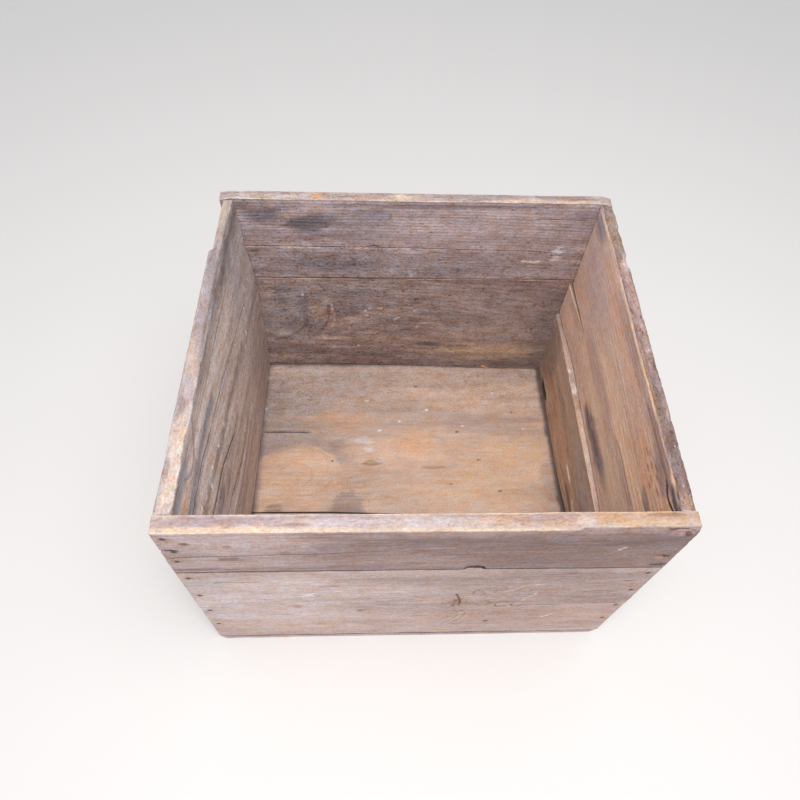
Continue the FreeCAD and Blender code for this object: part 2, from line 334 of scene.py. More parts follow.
    def rounded(self):
        """The box's points with its arrises worn round."""
        p = np.column_stack([self.a_box, self.b_box, self.w])
        size = np.array([self.length, self.width, self.thickness])
        r = np.clip(self.radius, 0.3, self.thickness / 2.2)[:, None]
        core = np.clip(p, r, size - r)
        out = p - core
        far = np.linalg.norm(out, axis=1, keepdims=True)
        scale = np.where(far > r, r / np.maximum(far, 1e-9), 1)
        return core + out * scale - p

    def faces(self):
        """The grid's quads on all six sides."""
        n = self.index
        sides = [(n[:, :, -1], False), (n[:, :, 0], True), (n[:, -1, :], True), (n[:, 0, :], False),
                 (n[-1, :, :], False), (n[0, :, :], True)]
        turn = np.linalg.det(self.axes) < 0
        quads = []
        for side, flip in sides:
            q = np.stack([side[:-1, :-1], side[1:, :-1], side[1:, 1:], side[:-1, 1:]], -1).reshape(-1, 4)
            quads.append(q[:, ::-1] if flip != turn else q)
        return np.concatenate(quads)

    def points(self):
        """Where every point of the worn board is, in millimetres."""
        worn = self.rounded()
        a = self.a_box + worn[:, 0]
        b = self.b - self.b0 + worn[:, 1]
        w = self.w + worn[:, 2] + self.bend
        w += self.share["outer"] * self.cut["outer"] - self.share["inner"] * self.cut["inner"]
        fade = 22.0
        b -= self.cut["top"] * np.clip(1 - (self.width - self.b_box) / fade, 0, 1)
        b += self.cut["bottom"] * np.clip(1 - self.b_box / fade, 0, 1)
        a += self.cut["start"] * np.clip(1 - self.a_box / fade, 0, 1)
        a -= self.cut["end"] * np.clip(1 - (self.length - self.a_box) / fade, 0, 1)
        return self.corner + np.column_stack([a, b, w]) @ self.axes

    def build(self, material, slot):
        """Write the mesh, its painted points and its material, in place of the CAD board."""
        co = self.points() * MM
        quads = self.faces()
        mesh = bpy.data.meshes.new(self.node + "_worn")
        mesh.vertices.add(len(co))
        mesh.vertices.foreach_set("co", co.ravel())
        mesh.loops.add(quads.size)
        mesh.loops.foreach_set("vertex_index", quads.ravel().astype(np.int32))
        mesh.polygons.add(len(quads))
        mesh.polygons.foreach_set("loop_start", np.arange(0, quads.size, 4, dtype=np.int32))
        mesh.polygons.foreach_set("use_smooth", np.ones(len(quads), bool))
        grain = np.column_stack([self.a_box, self.grain_b, self.w]) + self.seed * 37.0
        tint = np.column_stack([linear(np.clip(self.colour, 0, 255)), np.ones(len(co))])
        for name, kind, key, values in (
                ("grain", "FLOAT_VECTOR", "vector", grain), ("ring", "FLOAT", "value", self.ring),
                ("tint", "FLOAT_COLOR", "color", tint), ("shade_and_grime", "FLOAT", "value", self.shade_and_grime),
                ("pale", "FLOAT", "value", self.pale), ("lined", "FLOAT", "value", self.lined),
                ("aged", "FLOAT", "value", np.clip(self.aged, 0, 1))):
            mesh.attributes.new(name, kind, "POINT").data.foreach_set(key, values.ravel())
        mesh.update(calc_edges=True)
        mesh.materials.append(material)
        piece = bpy.data.objects.new(self.node + "_worn", mesh)
        bpy.context.scene.collection.objects.link(piece)
        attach(piece, "root")
        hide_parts(self.node)


# ---------------------------------------------------------------- materials

class Nodes:
    """Short calls for one material's node tree."""

    def __init__(self, name):
        self.material = bpy.data.materials.new(name)
        self.material.use_nodes = True
        self.tree = self.material.node_tree
        self.shader = self.tree.nodes["Principled BSDF"]

    def put(self, socket, value):
        if isinstance(value, bpy.types.NodeSocket):
            self.tree.links.new(value, socket)
        else:
            socket.default_value = value

    def add(self, kind, inputs=(), output=0, **settings):
        node = self.tree.nodes.new(kind)
        for key, value in settings.items():
            setattr(node, key, value)
        for key, value in dict(inputs).items():
            self.put(node.inputs[key], value)
        return node.outputs[output]

    def attribute(self, name, output):
        return self.add("ShaderNodeAttribute", output=output, attribute_name=name)

    def math(self, operation, a, b=0.0, c=0.0):
        return self.add("ShaderNodeMath", {0: a, 1: b, 2: c}, operation=operation)

    def stretch(self, vector, x, y, z):
        return self.add("ShaderNodeVectorMath", {0: vector, 1: (x, y, z)}, operation="MULTIPLY")

    def noise(self, vector, detail, roughness=0.6):
        return self.add("ShaderNodeTexNoise", {"Vector": vector, "Scale": 1.0, "Detail": detail,
                                               "Roughness": roughness})

    def spread(self, value, low, high, out_low=0.0, out_high=1.0):
        return self.add("ShaderNodeMapRange", {"Value": value, "From Min": low, "From Max": high,
                                               "To Min": out_low, "To Max": out_high})

    def mix(self, factor, a, b):
        return self.add("ShaderNodeMix", {"Factor": factor, 6: a, 7: b}, output=2, data_type="RGBA")

    def scale(self, colour, factor):
        return self.add("ShaderNodeVectorMath", {0: colour, "Scale": factor}, operation="SCALE")


def wood(name, fibres, dust):
    """Weathered softwood over the colours painted on a board's points."""
    n = Nodes(name)
    grain, tint = n.attribute("grain", "Vector"), n.attribute("tint", "Color")
    ring, lined, aged, shade_and_grime, pale = (n.attribute(key, "Fac") for key in
                                      ("ring", "lined", "aged", "shade_and_grime", "pale"))
    drift = n.noise(n.stretch(grain, 0.012, 0.035, 0.035), 3.0)
    wave = n.noise(n.stretch(grain, 0.035, 0.11, 0.11), 2.0)
    wave = n.add("ShaderNodeCombineXYZ", {"Y": n.math("MULTIPLY_ADD", wave, 5.0, -2.5)})
    grain = n.add("ShaderNodeVectorMath", {0: grain, 1: wave}, operation="ADD")
    streak = n.noise(n.stretch(grain, 0.04, 0.7, 0.7), 4.0, 0.65)
    fibre = n.noise(n.stretch(grain, 0.16, 1.6, 1.6), 3.0)
    cloud = n.noise(n.stretch(grain, 0.06, 0.11, 0.11), 6.0, 0.72)
    grit = n.noise(n.stretch(grain, 0.42, 0.62, 0.62), 3.0, 0.7)
    pits = n.spread(n.noise(n.stretch(grain, 0.24, 0.42, 0.42), 3.0, 0.6), 0.58, 0.66)
    # Latewood: a line at the end of each ring, fading in and out.
    phase = n.math("FRACT", n.math("MULTIPLY_ADD", streak, 0.4, ring))
    late = n.math("MULTIPLY", n.math("POWER", phase, 4.0), n.spread(phase, 1.0, 0.93))
    late = n.math("MULTIPLY", late, n.spread(cloud, 0.38, 0.6, 0.1, 1.0))

    value = 1.0
    for layer, depth in ((streak, 0.42 * fibres), (fibre, 0.7 * fibres), (drift, 0.4),
                         (cloud, n.math("MULTIPLY_ADD", aged, 1.5, 0.35)),
                         (grit, n.math("MULTIPLY_ADD", aged, 1.3, 0.55))):
        value = n.math("MULTIPLY_ADD", n.math("SUBTRACT", layer, 0.5), depth, value)
    value = n.math("SUBTRACT", value, n.math("MULTIPLY", late, lined))
    value = n.math("SUBTRACT", value, n.math("MULTIPLY", pits, n.math("MULTIPLY_ADD", aged, 0.6, -0.08)))
    value = n.math("MAXIMUM", value, 0.12)
    colour = n.scale(tint, value)
    cool = n.add("ShaderNodeVectorMath", {0: colour, 1: (0.90, 0.99, 1.10)}, operation="MULTIPLY")
    warm = n.add("ShaderNodeVectorMath", {0: colour, 1: (1.08, 0.99, 0.90)}, operation="MULTIPLY")
    colour = n.mix(n.spread(n.math("MULTIPLY_ADD", cloud, 1.4, n.math("MULTIPLY", grit, 0.4)),
                            0.72, 1.08), warm, cool)
    flecks = n.noise(n.stretch(grain, 0.13, 0.2, 0.2), 4.0, 0.7)
    colour = n.mix(n.math("MULTIPLY", n.spread(flecks, 0.55, 0.68), aged), colour, n.add(
        "ShaderNodeVectorMath", {0: colour, 1: (1.16, 0.92, 0.76)}, operation="MULTIPLY"))
    colour = n.mix(n.math("MULTIPLY", n.spread(flecks, 0.44, 0.33), aged), colour, n.add(
        "ShaderNodeVectorMath", {0: colour, 1: (0.72, 0.82, 0.93)}, operation="MULTIPLY"))
    colour = n.mix(n.math("MULTIPLY", pale, n.spread(grit, 0.3, 0.6, 0.5, 1.0)), colour,
                   (*linear((222, 186, 152)), 1))
    cells = n.add("ShaderNodeTexVoronoi", {"Vector": n.stretch(grain, 0.15, 0.17, 0.17), "Scale": 1.0})
    speck = n.math("MULTIPLY", n.spread(cells, 0.12, 0.06), n.spread(cloud, 0.52, 0.56))
    speck = n.math("MULTIPLY", speck, n.math("MULTIPLY", aged, dust))
    colour = n.mix(speck, colour, (*linear((222, 212, 204)), 1))
    # Near black where the points carry painted shade in cracks, gaps and seams, and grime.
    colour = n.mix(shade_and_grime, colour, (0.016, 0.011, 0.009, 1))
    n.put(n.shader.inputs["Base Color"], colour)
    n.put(n.shader.inputs["Roughness"], n.spread(fibre, 0.2, 0.8, 0.72, 0.92))
    n.shader.inputs["Specular IOR Level"].default_value = 0.25

    height = n.math("MULTIPLY_ADD", streak, 0.9, n.math("MULTIPLY", fibre, 0.7))
    height = n.math("MULTIPLY_ADD", pits, -0.35, height)
    height = n.math("MULTIPLY_ADD", late, 0.35, height)
    height = n.math("MULTIPLY_ADD", grit, 0.4, height)
    n.put(n.shader.inputs["Normal"], n.add(
        "ShaderNodeBump", {"Strength": 0.5, "Distance": 0.0006, "Height": height}))
    return n.material


def rust(name):
    """Old iron: brown rust with darker scale and dull wear."""
    n = Nodes(name)
    place = n.add("ShaderNodeTexCoord", output="Object")
    scale = n.noise(n.stretch(place, 900, 900, 900), 4.0, 0.7)
    crust = n.noise(n.stretch(place, 260, 260, 260), 3.0)
    colour = n.mix(n.spread(scale, 0.35, 0.65), (*linear((78, 58, 50)), 1), (*linear((118, 90, 76)), 1))
    colour = n.mix(n.spread(crust, 0.5, 0.7), colour, (*linear((132, 112, 104)), 1))
    n.put(n.shader.inputs["Base Color"], colour)
    n.put(n.shader.inputs["Roughness"], n.spread(crust, 0.3, 0.7, 0.9, 0.55))
    n.shader.inputs["Metallic"].default_value = 0.25
    n.put(n.shader.inputs["Normal"], n.add(
        "ShaderNodeBump", {"Strength": 0.6, "Distance": 0.0002, "Height": scale}))
    return n.material


# ---------------------------------------------------------------- nails

HEAD_RADIUS = 2.4
NAIL_ROWS = {"front_upper_left": 2, "front_upper_right": 2, "front_lower_left": 4, "front_lower_right": 4,
             "rear_upper_left": 3, "rear_upper_right": 3, "rear_lower_left": 3, "rear_lower_right": 3,
             "bottom_front_edge": 5, "bottom_front_left": 2, "bottom_front_right": 2,
             "bottom_rear_edge": 5, "bottom_rear_left": 3, "bottom_rear_right": 3}
NAIL_WAYS = {"front": (0, 1, 0), "rear": (0, -1, 0), "bottom": (0, 0, 1)}


def nail_heads(row, count):
    """The middle of each head's face, evenly along the box of its row."""
    low, high = (np.array(c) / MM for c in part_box("nails_" + row))
    way = np.array(NAIL_WAYS[row.split("_")[0]], float)
    first = np.where(way > 0, low, np.where(way < 0, high, low + HEAD_RADIUS))
    last = np.where(way > 0, low, np.where(way < 0, high, high - HEAD_RADIUS))
    return [first + (last - first) * s for s in np.linspace(0, 1, count)]


NAILS = {row: nail_heads(row, count) for row, count in NAIL_ROWS.items()}
NAIL_PROFILE = [(0, 0.5), (1.2, 0.52), (1.9, 0.66), (2.3, 0.95), (2.25, 1.25), (1.7, 1.5), (1.3, 1.9),
                (1.25, 3.0), (1.25, 40.5), (0.85, 42.4), (0.3, 44.6), (0, 45.0)]


HEAD_SIDES = 20


def nail_row(row, material):
    """One row of old cut nails, each head battered in its own way."""
    vertices, faces = [], []
    way = np.array(NAIL_WAYS[row.split("_")[0]], float)
    across = np.roll(way, 1)
    third = np.cross(way, across)
    for number, head in enumerate(NAILS[row]):
        seed = number * 13 + len(row) * 7
        rings = []
        for radius, depth in NAIL_PROFILE:
            turn = np.arange(HEAD_SIDES if radius else 1) * 2 * math.pi / HEAD_SIDES
            battered = depth < 2
            r = radius * (1 - 0.1 * battered * (noise(np.cos(turn) * 2, np.sin(turn) * 2, seed) + 1) / 2)
            dip = 0.18 * battered * (noise(np.cos(turn) * radius + 5, np.sin(turn) * radius, seed) + 1)
            rings.append(range(len(vertices), len(vertices) + len(turn)))
            ring = head + np.outer(np.cos(turn) * r, across) + np.outer(np.sin(turn) * r, third)
            vertices.extend(ring + np.outer(depth + dip, way))
        for upper, lower in zip(rings, rings[1:]):
            for k in range(HEAD_SIDES):
                a, b = upper[k % len(upper)], upper[(k + 1) % len(upper)]
                c, d = lower[(k + 1) % len(lower)], lower[k % len(lower)]
                faces.append([v for n, v in enumerate((a, b, c, d)) if v not in (a, b, c, d)[:n]])
    mesh = bpy.data.meshes.new(f"nails_{row}_old")
    mesh.from_pydata([tuple(v * MM) for v in vertices], [], faces)
    mesh.polygons.foreach_set("use_smooth", [True] * len(mesh.polygons))
    mesh.materials.append(material)
    piece = bpy.data.objects.new(f"nails_{row}_old", mesh)
    bpy.context.scene.collection.objects.link(piece)
    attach(piece, "root")
    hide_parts(f"nails_{row}")


RUST = rust("rusty_iron")
for row in NAILS:
    nail_row(row, RUST)


# ---------------------------------------------------------------- the nine boards

OUTSIDE = wood("weathered_outside", fibres=0.75, dust=0.6)
INSIDE = wood("weathered_inside", fibres=0.8, dust=1.0)
FLOORING = wood("worn_bottom", fibres=0.5, dust=0.8)

GREY_LIGHT, GREY_DARK = (206, 187, 181), (160, 138, 133)
MAUVE_LIGHT, MAUVE_DARK = (176, 152, 146), (124, 102, 98)
BROWN_LIGHT, BROWN_DARK = (172, 142, 130), (104, 82, 76)
TAN_LIGHT, TAN_DARK = (222, 184, 158), (176, 148, 134)
CREAM, DARK, ORANGE = (226, 200, 168), (66, 52, 50), (222, 158, 104)
FRONT_ENDS = (-195.3, 185.7)
NO_WALL = 400


RELIEF, WAVE, END_WEAR = 0.35, 0.3, 0.12


def weather(board, ragged):
    """Raised rings and fibres, and an uneven old face, on every side."""
    phase = board.ring % 1
    groove = ramp(0.05, 0.35, phase) * ramp(0.85, 0.6, phase) * (0.4 + 1.4 * board.lined)
    for face in ("outer", "inner"):
        side = 0.0 if face == "outer" else 50.0
        fibres = noise(board.a / 45, board.t / 1.5 + side, board.seed + 70)
        pocks = np.clip(rough(board.a / 4, board.b / 3 + side, board.seed + 73) - 0.3, 0, 1)
        swell = rough(board.a / 70, board.b / 28 + side, board.seed + 71)
        board.cut[face] += RELIEF * 0.6 * groove + RELIEF * 0.35 * (fibres + 1) + WAVE * (swell + 1) / 2
        board.cut[face] += 0.9 * pocks * board.aged
    for edge in ("top", "bottom"):
        worn = rough(board.a / 22, board.w / 9, board.seed + ord(edge[0]))
        nicks = np.clip(rough(board.a / 5, board.w / 3.5, board.seed + 3 + ord(edge[0])) - 0.25, 0, 1)
        board.cut[edge] += 0.25 + 0.3 * worn + 1.0 * nicks * (0.3 + ragged)
    to_top = board.width - board.b_box
    for face, offset in (("outer", 0.0), ("inner", 9.0)):
        chips = np.clip(rough(board.a / 16, offset, board.seed + 90, 5) - 0.12, 0, 1)
        splinters = np.clip(rough(board.a / 2.6, to_top / 2.5 + offset, board.seed + 91), 0, 1)
        board.cut[face] += ragged * (1.8 * chips + 0.7 * splinters) * ramp(6, 0.5, to_top)
    for edge in ("start", "end"):
        board.cut[edge] += END_WEAR * (1 + rough(board.t / 6, board.w / 6, board.seed + ord(edge[0])))


def worn_arrises(board, colour, strength):
    """Lighter wood where the top arrises are rubbed, in patches."""
    to_edge = board.width - board.b_box
    to_face = np.minimum(board.w, board.thickness - board.w)
    patches = ramp(-0.3, 0.5, rough(board.a / 26, board.w / 40, board.seed + 44))
    near = ramp(1.6, 0.2, np.maximum(to_edge, to_face) * 0.8 + 0.6 * rough(
        board.a / 9, board.t / 3, board.seed + 41))
    board.blend_to(near * strength * patches, colour)


def end_grain(board, light, dark):
    """Paint both ends."""
    for end in ("start", "end"):
        board.base(end, light, dark, (9, 5), seed=7)


def rim_patches(board, tones):
    """Ragged patches of other tones along a top edge: (a, w, half length, half width, colour, strength)."""
    for a, w, ra, rw, colour, strength in tones:
        board.stain("top", a, w, ra, rw, colour, strength, soft=0.35, ragged=0.7, scale=6.0)


def nail_pits(board):
    """The shallow dirty hollows that nail heads sit in."""
    for heads in NAILS.values():
        for place in heads:
            a, b, w = (place - board.corner) @ board.axes.T
            if abs(w) > 0.1 or not (0 < a < board.length and 0 < b < board.width):
                continue
            d = np.hypot(board.a_box - a, board.b - board.b0 - b)
            board.cut["outer"] += 0.7 * ramp(3.6, 2.4, d)
            board.blend_to(board.on["outer"] * 0.22 * ramp(5.0, 2.4, d + 0.8 * noise(
                board.a / 2, board.b / 2, board.seed)), (104, 80, 70))


def fine_checks(b, sag, strength, rows):
    """Short drying checks in the outer face: (x0, z0, x1, z1), bent by sag in the middle."""
    for x0, z0, x1, z1 in rows:
        middle = ((x0 + x1) / 2, (z0 + z1) / 2 + sag)
        b.stroke("outer", [(x0, z0), middle, (x1, z1)], 0.9, DARK, strength, 0.3)


def worn_corners(b):
    """The front's two lower corners, rubbed off."""
    for x in FRONT_ENDS:
        b.cut["bottom"] += 2.0 * ramp(9, 0, np.abs(b.a - x)) ** 2


def front_upper():
    """The narrow board with the front rim. Its foot is bitten out over the knot's board."""
    low = [(-195, 220), (-165, 222), (-120, 224), (-80, 226), (-40, 231), (0, 234), (60, 237), (186, 241)]
    high = [(-195, 250), (0, 248), (96, 243), (136, 246), (186, 249)]
    b = Board("front_upper_board", ("x", "z", "y"), lines=(low, high), seed=11)
    b.ring = b.t / 5.5 + 0.8 * rough(b.a / 120, b.t / 20, 3)
    b.base("outer", (172, 149, 143), (134, 112, 107), (90, 8))
    b.base("inner", BROWN_LIGHT, BROWN_DARK)
    b.base("bottom", MAUVE_LIGHT, MAUVE_DARK)
    b.base("top", (206, 184, 174), (178, 156, 150), (36, 3.0))
    end_grain(b, GREY_LIGHT, MAUVE_DARK)
    b.stains("outer", [
        (-150, 252, 60, 22, (200, 180, 176), 0.8), (-150, 215, 60, 18, (192, 172, 166), 0.7),
        (30, 246, 80, 9, (116, 98, 96), 0.5), (110, 215, 70, 18, (132, 108, 102), 0.5),
        (160, 246, 40, 12, (112, 96, 96), 0.5), (120, 225, 90, 34, (136, 112, 104), 0.45),
        (-20, 216, 46, 7, (178, 150, 140), 0.5)])
    b.stain("outer", -149, 217, 9, 3.6, (124, 96, 88), 0.65, soft=0.15, ragged=0.3, scale=3)
    b.stain("outer", -142, 217, 3, 2.4, (150, 120, 110), 0.6, soft=0.15)
    b.stains("outer", [
        (-176, 247, 3.5, 2.5, (112, 86, 80), 0.9), (-147, 242, 3, 2, (112, 86, 80), 0.7)])
    b.stroke("outer", [(138, 229), (142, 234)], 1.1, (226, 212, 206), 0.85)
    fine_checks(b, -1.2, 0.25, (
        (-130, 240, -96, 242), (-60, 243, -30, 240), (66, 204, 96, 202), (8, 222, 44, 224),
        (96, 238, 150, 240), (-20, 206, 20, 205)))
    b.crack(0, -196, 2, 1.4, 0.6, "outer", 0.8)
    b.crack(1, 92, 138, 1.1, 0.5, "outer", 0.7)
    b.bite("bottom", 35, 7.5, 7.0, 1.6)
    b.radius *= 1 - 0.6 * (b.b_box < b.width / 2)
    rear_arris = (b.b_box > b.width / 2) & (b.w > b.thickness / 2)
    b.radius *= 1 - 0.7 * rear_arris
    # A deep notch at the left end, painted near black: painted shade in the notch.
    b.dent("outer", -191, 234, 5, 2.2, 5, 0.3)
    b.stain("outer", -189, 234, 7, 2.8, (48, 36, 36), 0.95, soft=0.2)
    for a, z, ra, rz in ((173, 259, 9, 4), (176, 213, 6, 3)):
        b.dent("outer", a, z, ra, rz, 1.8, 0.15)
        b.stain("outer", a, z, ra, rz, (196, 156, 148), 0.85, soft=0.15)
        b.stroke("outer", [(a - ra, z + rz), (a + ra * 0.4, z + rz * 1.1)], 0.9, DARK, 0.8)
    b.stain("outer", 178, 197, 7, 3, (70, 54, 54), 0.8)
    rim_patches(b, [
        (-150, 2.6, 60, 2.4, CREAM, 0.8), (-60, 2.0, 70, 1.8, CREAM, 0.7), (50, 1.8, 70, 1.6, CREAM, 0.6),
        (-140, 10, 50, 4.5, (156, 136, 138), 0.75), (-60, 11, 40, 3, (168, 148, 146), 0.6),
        (-70, 7, 40, 4, (204, 184, 178), 0.6), (10, 8, 55, 6, (210, 196, 192), 0.6),
        (120, 9, 75, 6, (204, 158, 118), 0.85), (150, 3, 40, 2.5, (218, 188, 154), 0.7),
        (74, 10, 22, 3.5, (160, 142, 146), 0.75), (104, 7, 8, 5, (214, 202, 200), 0.7),
        (30, 12, 30, 1.6, (166, 138, 120), 0.7), (-100, 6, 16, 1.2, (132, 110, 108), 0.7),
        (166, 11, 14, 2, (150, 116, 92), 0.7)])
    b.cut["outer"] += 2.0 * ramp(98, 103, b.a) * ramp(7, 1, b.width - b.b_box)
    b.seam("bottom", 0.7, 0.6)
    # Painted shade: the rim's top darkened against the strong light it gets.
    b.tone("top", 0.78, 0.78, 0.79)
    # A painted highlight on the rear top arris, where it catches the light.
    b.blend_to(0.4 * rear_arris * ramp(1.5, 0.3, b.thickness - b.w + b.width - b.b_box), (214, 190, 168))
    b.lighten(0.05 * ramp(-40, -100, b.a) * b.on["top"])
    b.lighten(0.04 * ramp(-20, -110, b.a) * b.on["outer"])
    return b, OUTSIDE, "weathered_board", (CREAM, 0.5), 0.25


def front_lower():
    """The wide board of the front, with the knot and its torn grain."""
    check = [(-195, 158), (0, 158), (160, 159), (172, 157), (186, 156)]
    low = [(-195, 50), (-170, 47), (0, 46), (186, 44)]
    b = Board("front_lower_board", ("x", "z", "y"), lines=(low, check), seed=23, step=2.9, row=1.05,
              fine=((14, 100, 1.2),))
    b.ring = np.hypot(b.b - 108, (b.a - 34) * 0.11) / 6.0 + 0.7 * rough(b.a / 80, b.b / 26, 5)
    b.lined += 0.12 * ramp(110, 30, np.hypot((b.a - 34) * 0.6, b.b - 108))
    b.knot(34, 108, 12, 3.0, 1.2)
    b.base("outer", GREY_LIGHT, (176, 152, 144), (100, 12))
    b.base("inner", BROWN_LIGHT, BROWN_DARK)
    b.base("top", MAUVE_LIGHT, MAUVE_DARK)
    b.base("bottom", MAUVE_LIGHT, MAUVE_DARK)
    end_grain(b, GREY_LIGHT, MAUVE_DARK)
    b.stains("outer", [
        (110, 150, 90, 40, (176, 152, 144), 0.6), (130, 120, 80, 70, (168, 142, 132), 0.4),
        (-40, 178, 130, 14, (184, 164, 158), 0.5), (-20, 168, 60, 8, (160, 138, 132), 0.5),
        (110, 60, 90, 30, (204, 168, 152), 0.5), (20, 30, 160, 14, (196, 172, 162), 0.5),
        (-140, 110, 70, 60, (216, 202, 200), 0.45), (-70, 130, 60, 20, (214, 196, 192), 0.5),
        (-120, 44, 60, 22, (206, 180, 168), 0.5), (-20, 60, 50, 22, (208, 182, 170), 0.45),
        (30, 160, 60, 12, (160, 140, 132), 0.5), (120, 172, 60, 10, (154, 132, 126), 0.5),
        (60, 76, 60, 14, (174, 146, 134), 0.5), (150, 112, 30, 16, (158, 134, 126), 0.5),
        (-176, 166, 20, 14, (166, 158, 154), 0.5), (30, 104, 15, 13, (166, 140, 128), 0.6),
        (46, 104, 24, 7, (164, 140, 122), 0.55)])
    # The knot's cracks, the point of dark grain to its right and the two small ovals after it.
    for path, width, strength in (
            (((28, 129), (31, 118), (33, 109), (33, 98)), 1.1, 0.9),
            (((29.5, 113), (28, 103), (29, 94)), 1.1, 0.6), (((22, 102), (25, 107), (29, 112)), 1.2, 0.45),
            (((35, 104), (42, 103), (49, 101)), 1.2, 0.4), (((53, 97), (57, 99), (61, 101)), 1.2, 0.4),
            (((55, 112), (58, 109), (62, 103)), 1.1, 0.35),
            (((66, 100), (67, 94), (71, 92), (76, 95)), 1.4, 0.6),
            (((67, 104), (70, 107), (74, 108), (77, 105)), 1.2, 0.45),
            (((81, 99), (82, 94), (86, 92), (90, 95)), 1.4, 0.5),
            (((81, 103), (85, 107), (89, 106)), 1.2, 0.4),
            (((42, 130), (44, 141), (47, 137)), 1.1, 0.35), (((49, 136), (51, 131), (53, 127)), 1.1, 0.35),
            (((30, 84), (34, 78), (38, 83)), 1.1, 0.35), (((38, 84), (42, 76), (40, 70)), 1.1, 0.35)):
        b.stroke("outer", path, width, (96, 74, 67), strength, 0.8 * strength)
    # Pale torn fibres above, below and to the left of the knot.
    for path, width, strength in (
            (((68, 133), (72, 137), (76, 138)), 1.8, 0.6), (((77, 140), (80, 144), (83, 150)), 1.6, 0.55),
            (((93, 151), (97, 153), (102, 153)), 2.0, 0.65), (((85, 151), (88, 150), (90, 152)), 1.4, 0.35),
            (((88, 107), (90, 113), (92, 118)), 1.8, 0.55), (((93, 119), (96, 123), (97, 132)), 1.6, 0.55),
            (((36, 122), (44, 124), (52, 122)), 1.5, 0.4), (((36, 77), (39, 72), (43, 79)), 1.2, 0.5),
            (((-8, 118), (4, 116), (14, 122)), 2.0, 0.4), (((22, 44), (27, 52), (31, 60)), 1.6, 0.3),
            (((29, 46), (34, 56), (38, 66)), 1.5, 0.3), (((38, 50), (42, 60), (45, 70)), 1.5, 0.25),
            (((18, 13), (26, 13.5), (34, 13)), 1.6, 0.8)):
        b.stroke("outer", path, width, (232, 208, 190), strength, 0.3)
    for path in (((25, 44), (31, 54), (36, 66)), ((34, 46), (39, 58), (43, 70)),
                 ((60, 134), (64, 142), (70, 152)), ((90, 134), (93, 141), (97, 145)),
                 ((74, 118), (79, 122), (83, 128))):
        b.stroke("outer", path, 1.3, (140, 116, 106), 0.35)
    b.strokes("outer", [
        ([(116, 56), (124, 67)], 1.2, (238, 226, 220), 0.9),
        ([(-104, 129), (-92, 137)], 1.5, (238, 228, 222), 0.85),
        ([(-102, 135), (-94, 130)], 1.1, (238, 228, 222), 0.8)])
    b.stains("outer", [
        (-55, 87, 2.5, 3.0, (110, 84, 78), 0.8), (-110, 100, 4, 4, (156, 104, 90), 0.6),
        (65, 47, 2.5, 3.0, (110, 84, 78), 0.8)])
    fine_checks(b, 1.5, 0.35, (
        (-170, 166, -120, 164), (-90, 152, -40, 154), (100, 176, 150, 178), (-20, 66, 30, 64),
        (90, 96, 128, 94), (-150, 76, -118, 78), (30, 38, 84, 36), (138, 132, 166, 131)))
    b.crack(1, 160, 178, 1.4, 0.7, "outer", 0.9)
    b.crack(0, -190, -170, 1.4, 0.7, "outer", 0.8)
    b.cut["top"] -= (5.2 - 2.2 * ramp(28, 33, b.a)) * ramp(8.5, 4, np.abs(b.a - 35))
    b.radius *= 1 - 0.6 * (b.b_box > b.width / 2)
    worn_corners(b)
    # Painted shade: a dark line for the shadow gap along the foot, over the middle.
    b.stroke("outer", [(-16, 10), (40, 9.4), (98, 10)], 1.0, DARK, 0.5)
    b.seam("top", 0.6, 0.5)
    b.lighten(0.035 * ramp(-20, -110, b.a) * b.on["outer"])
    return b, OUTSIDE, "weathered_board", (GREY_LIGHT, 0.0), 0.0


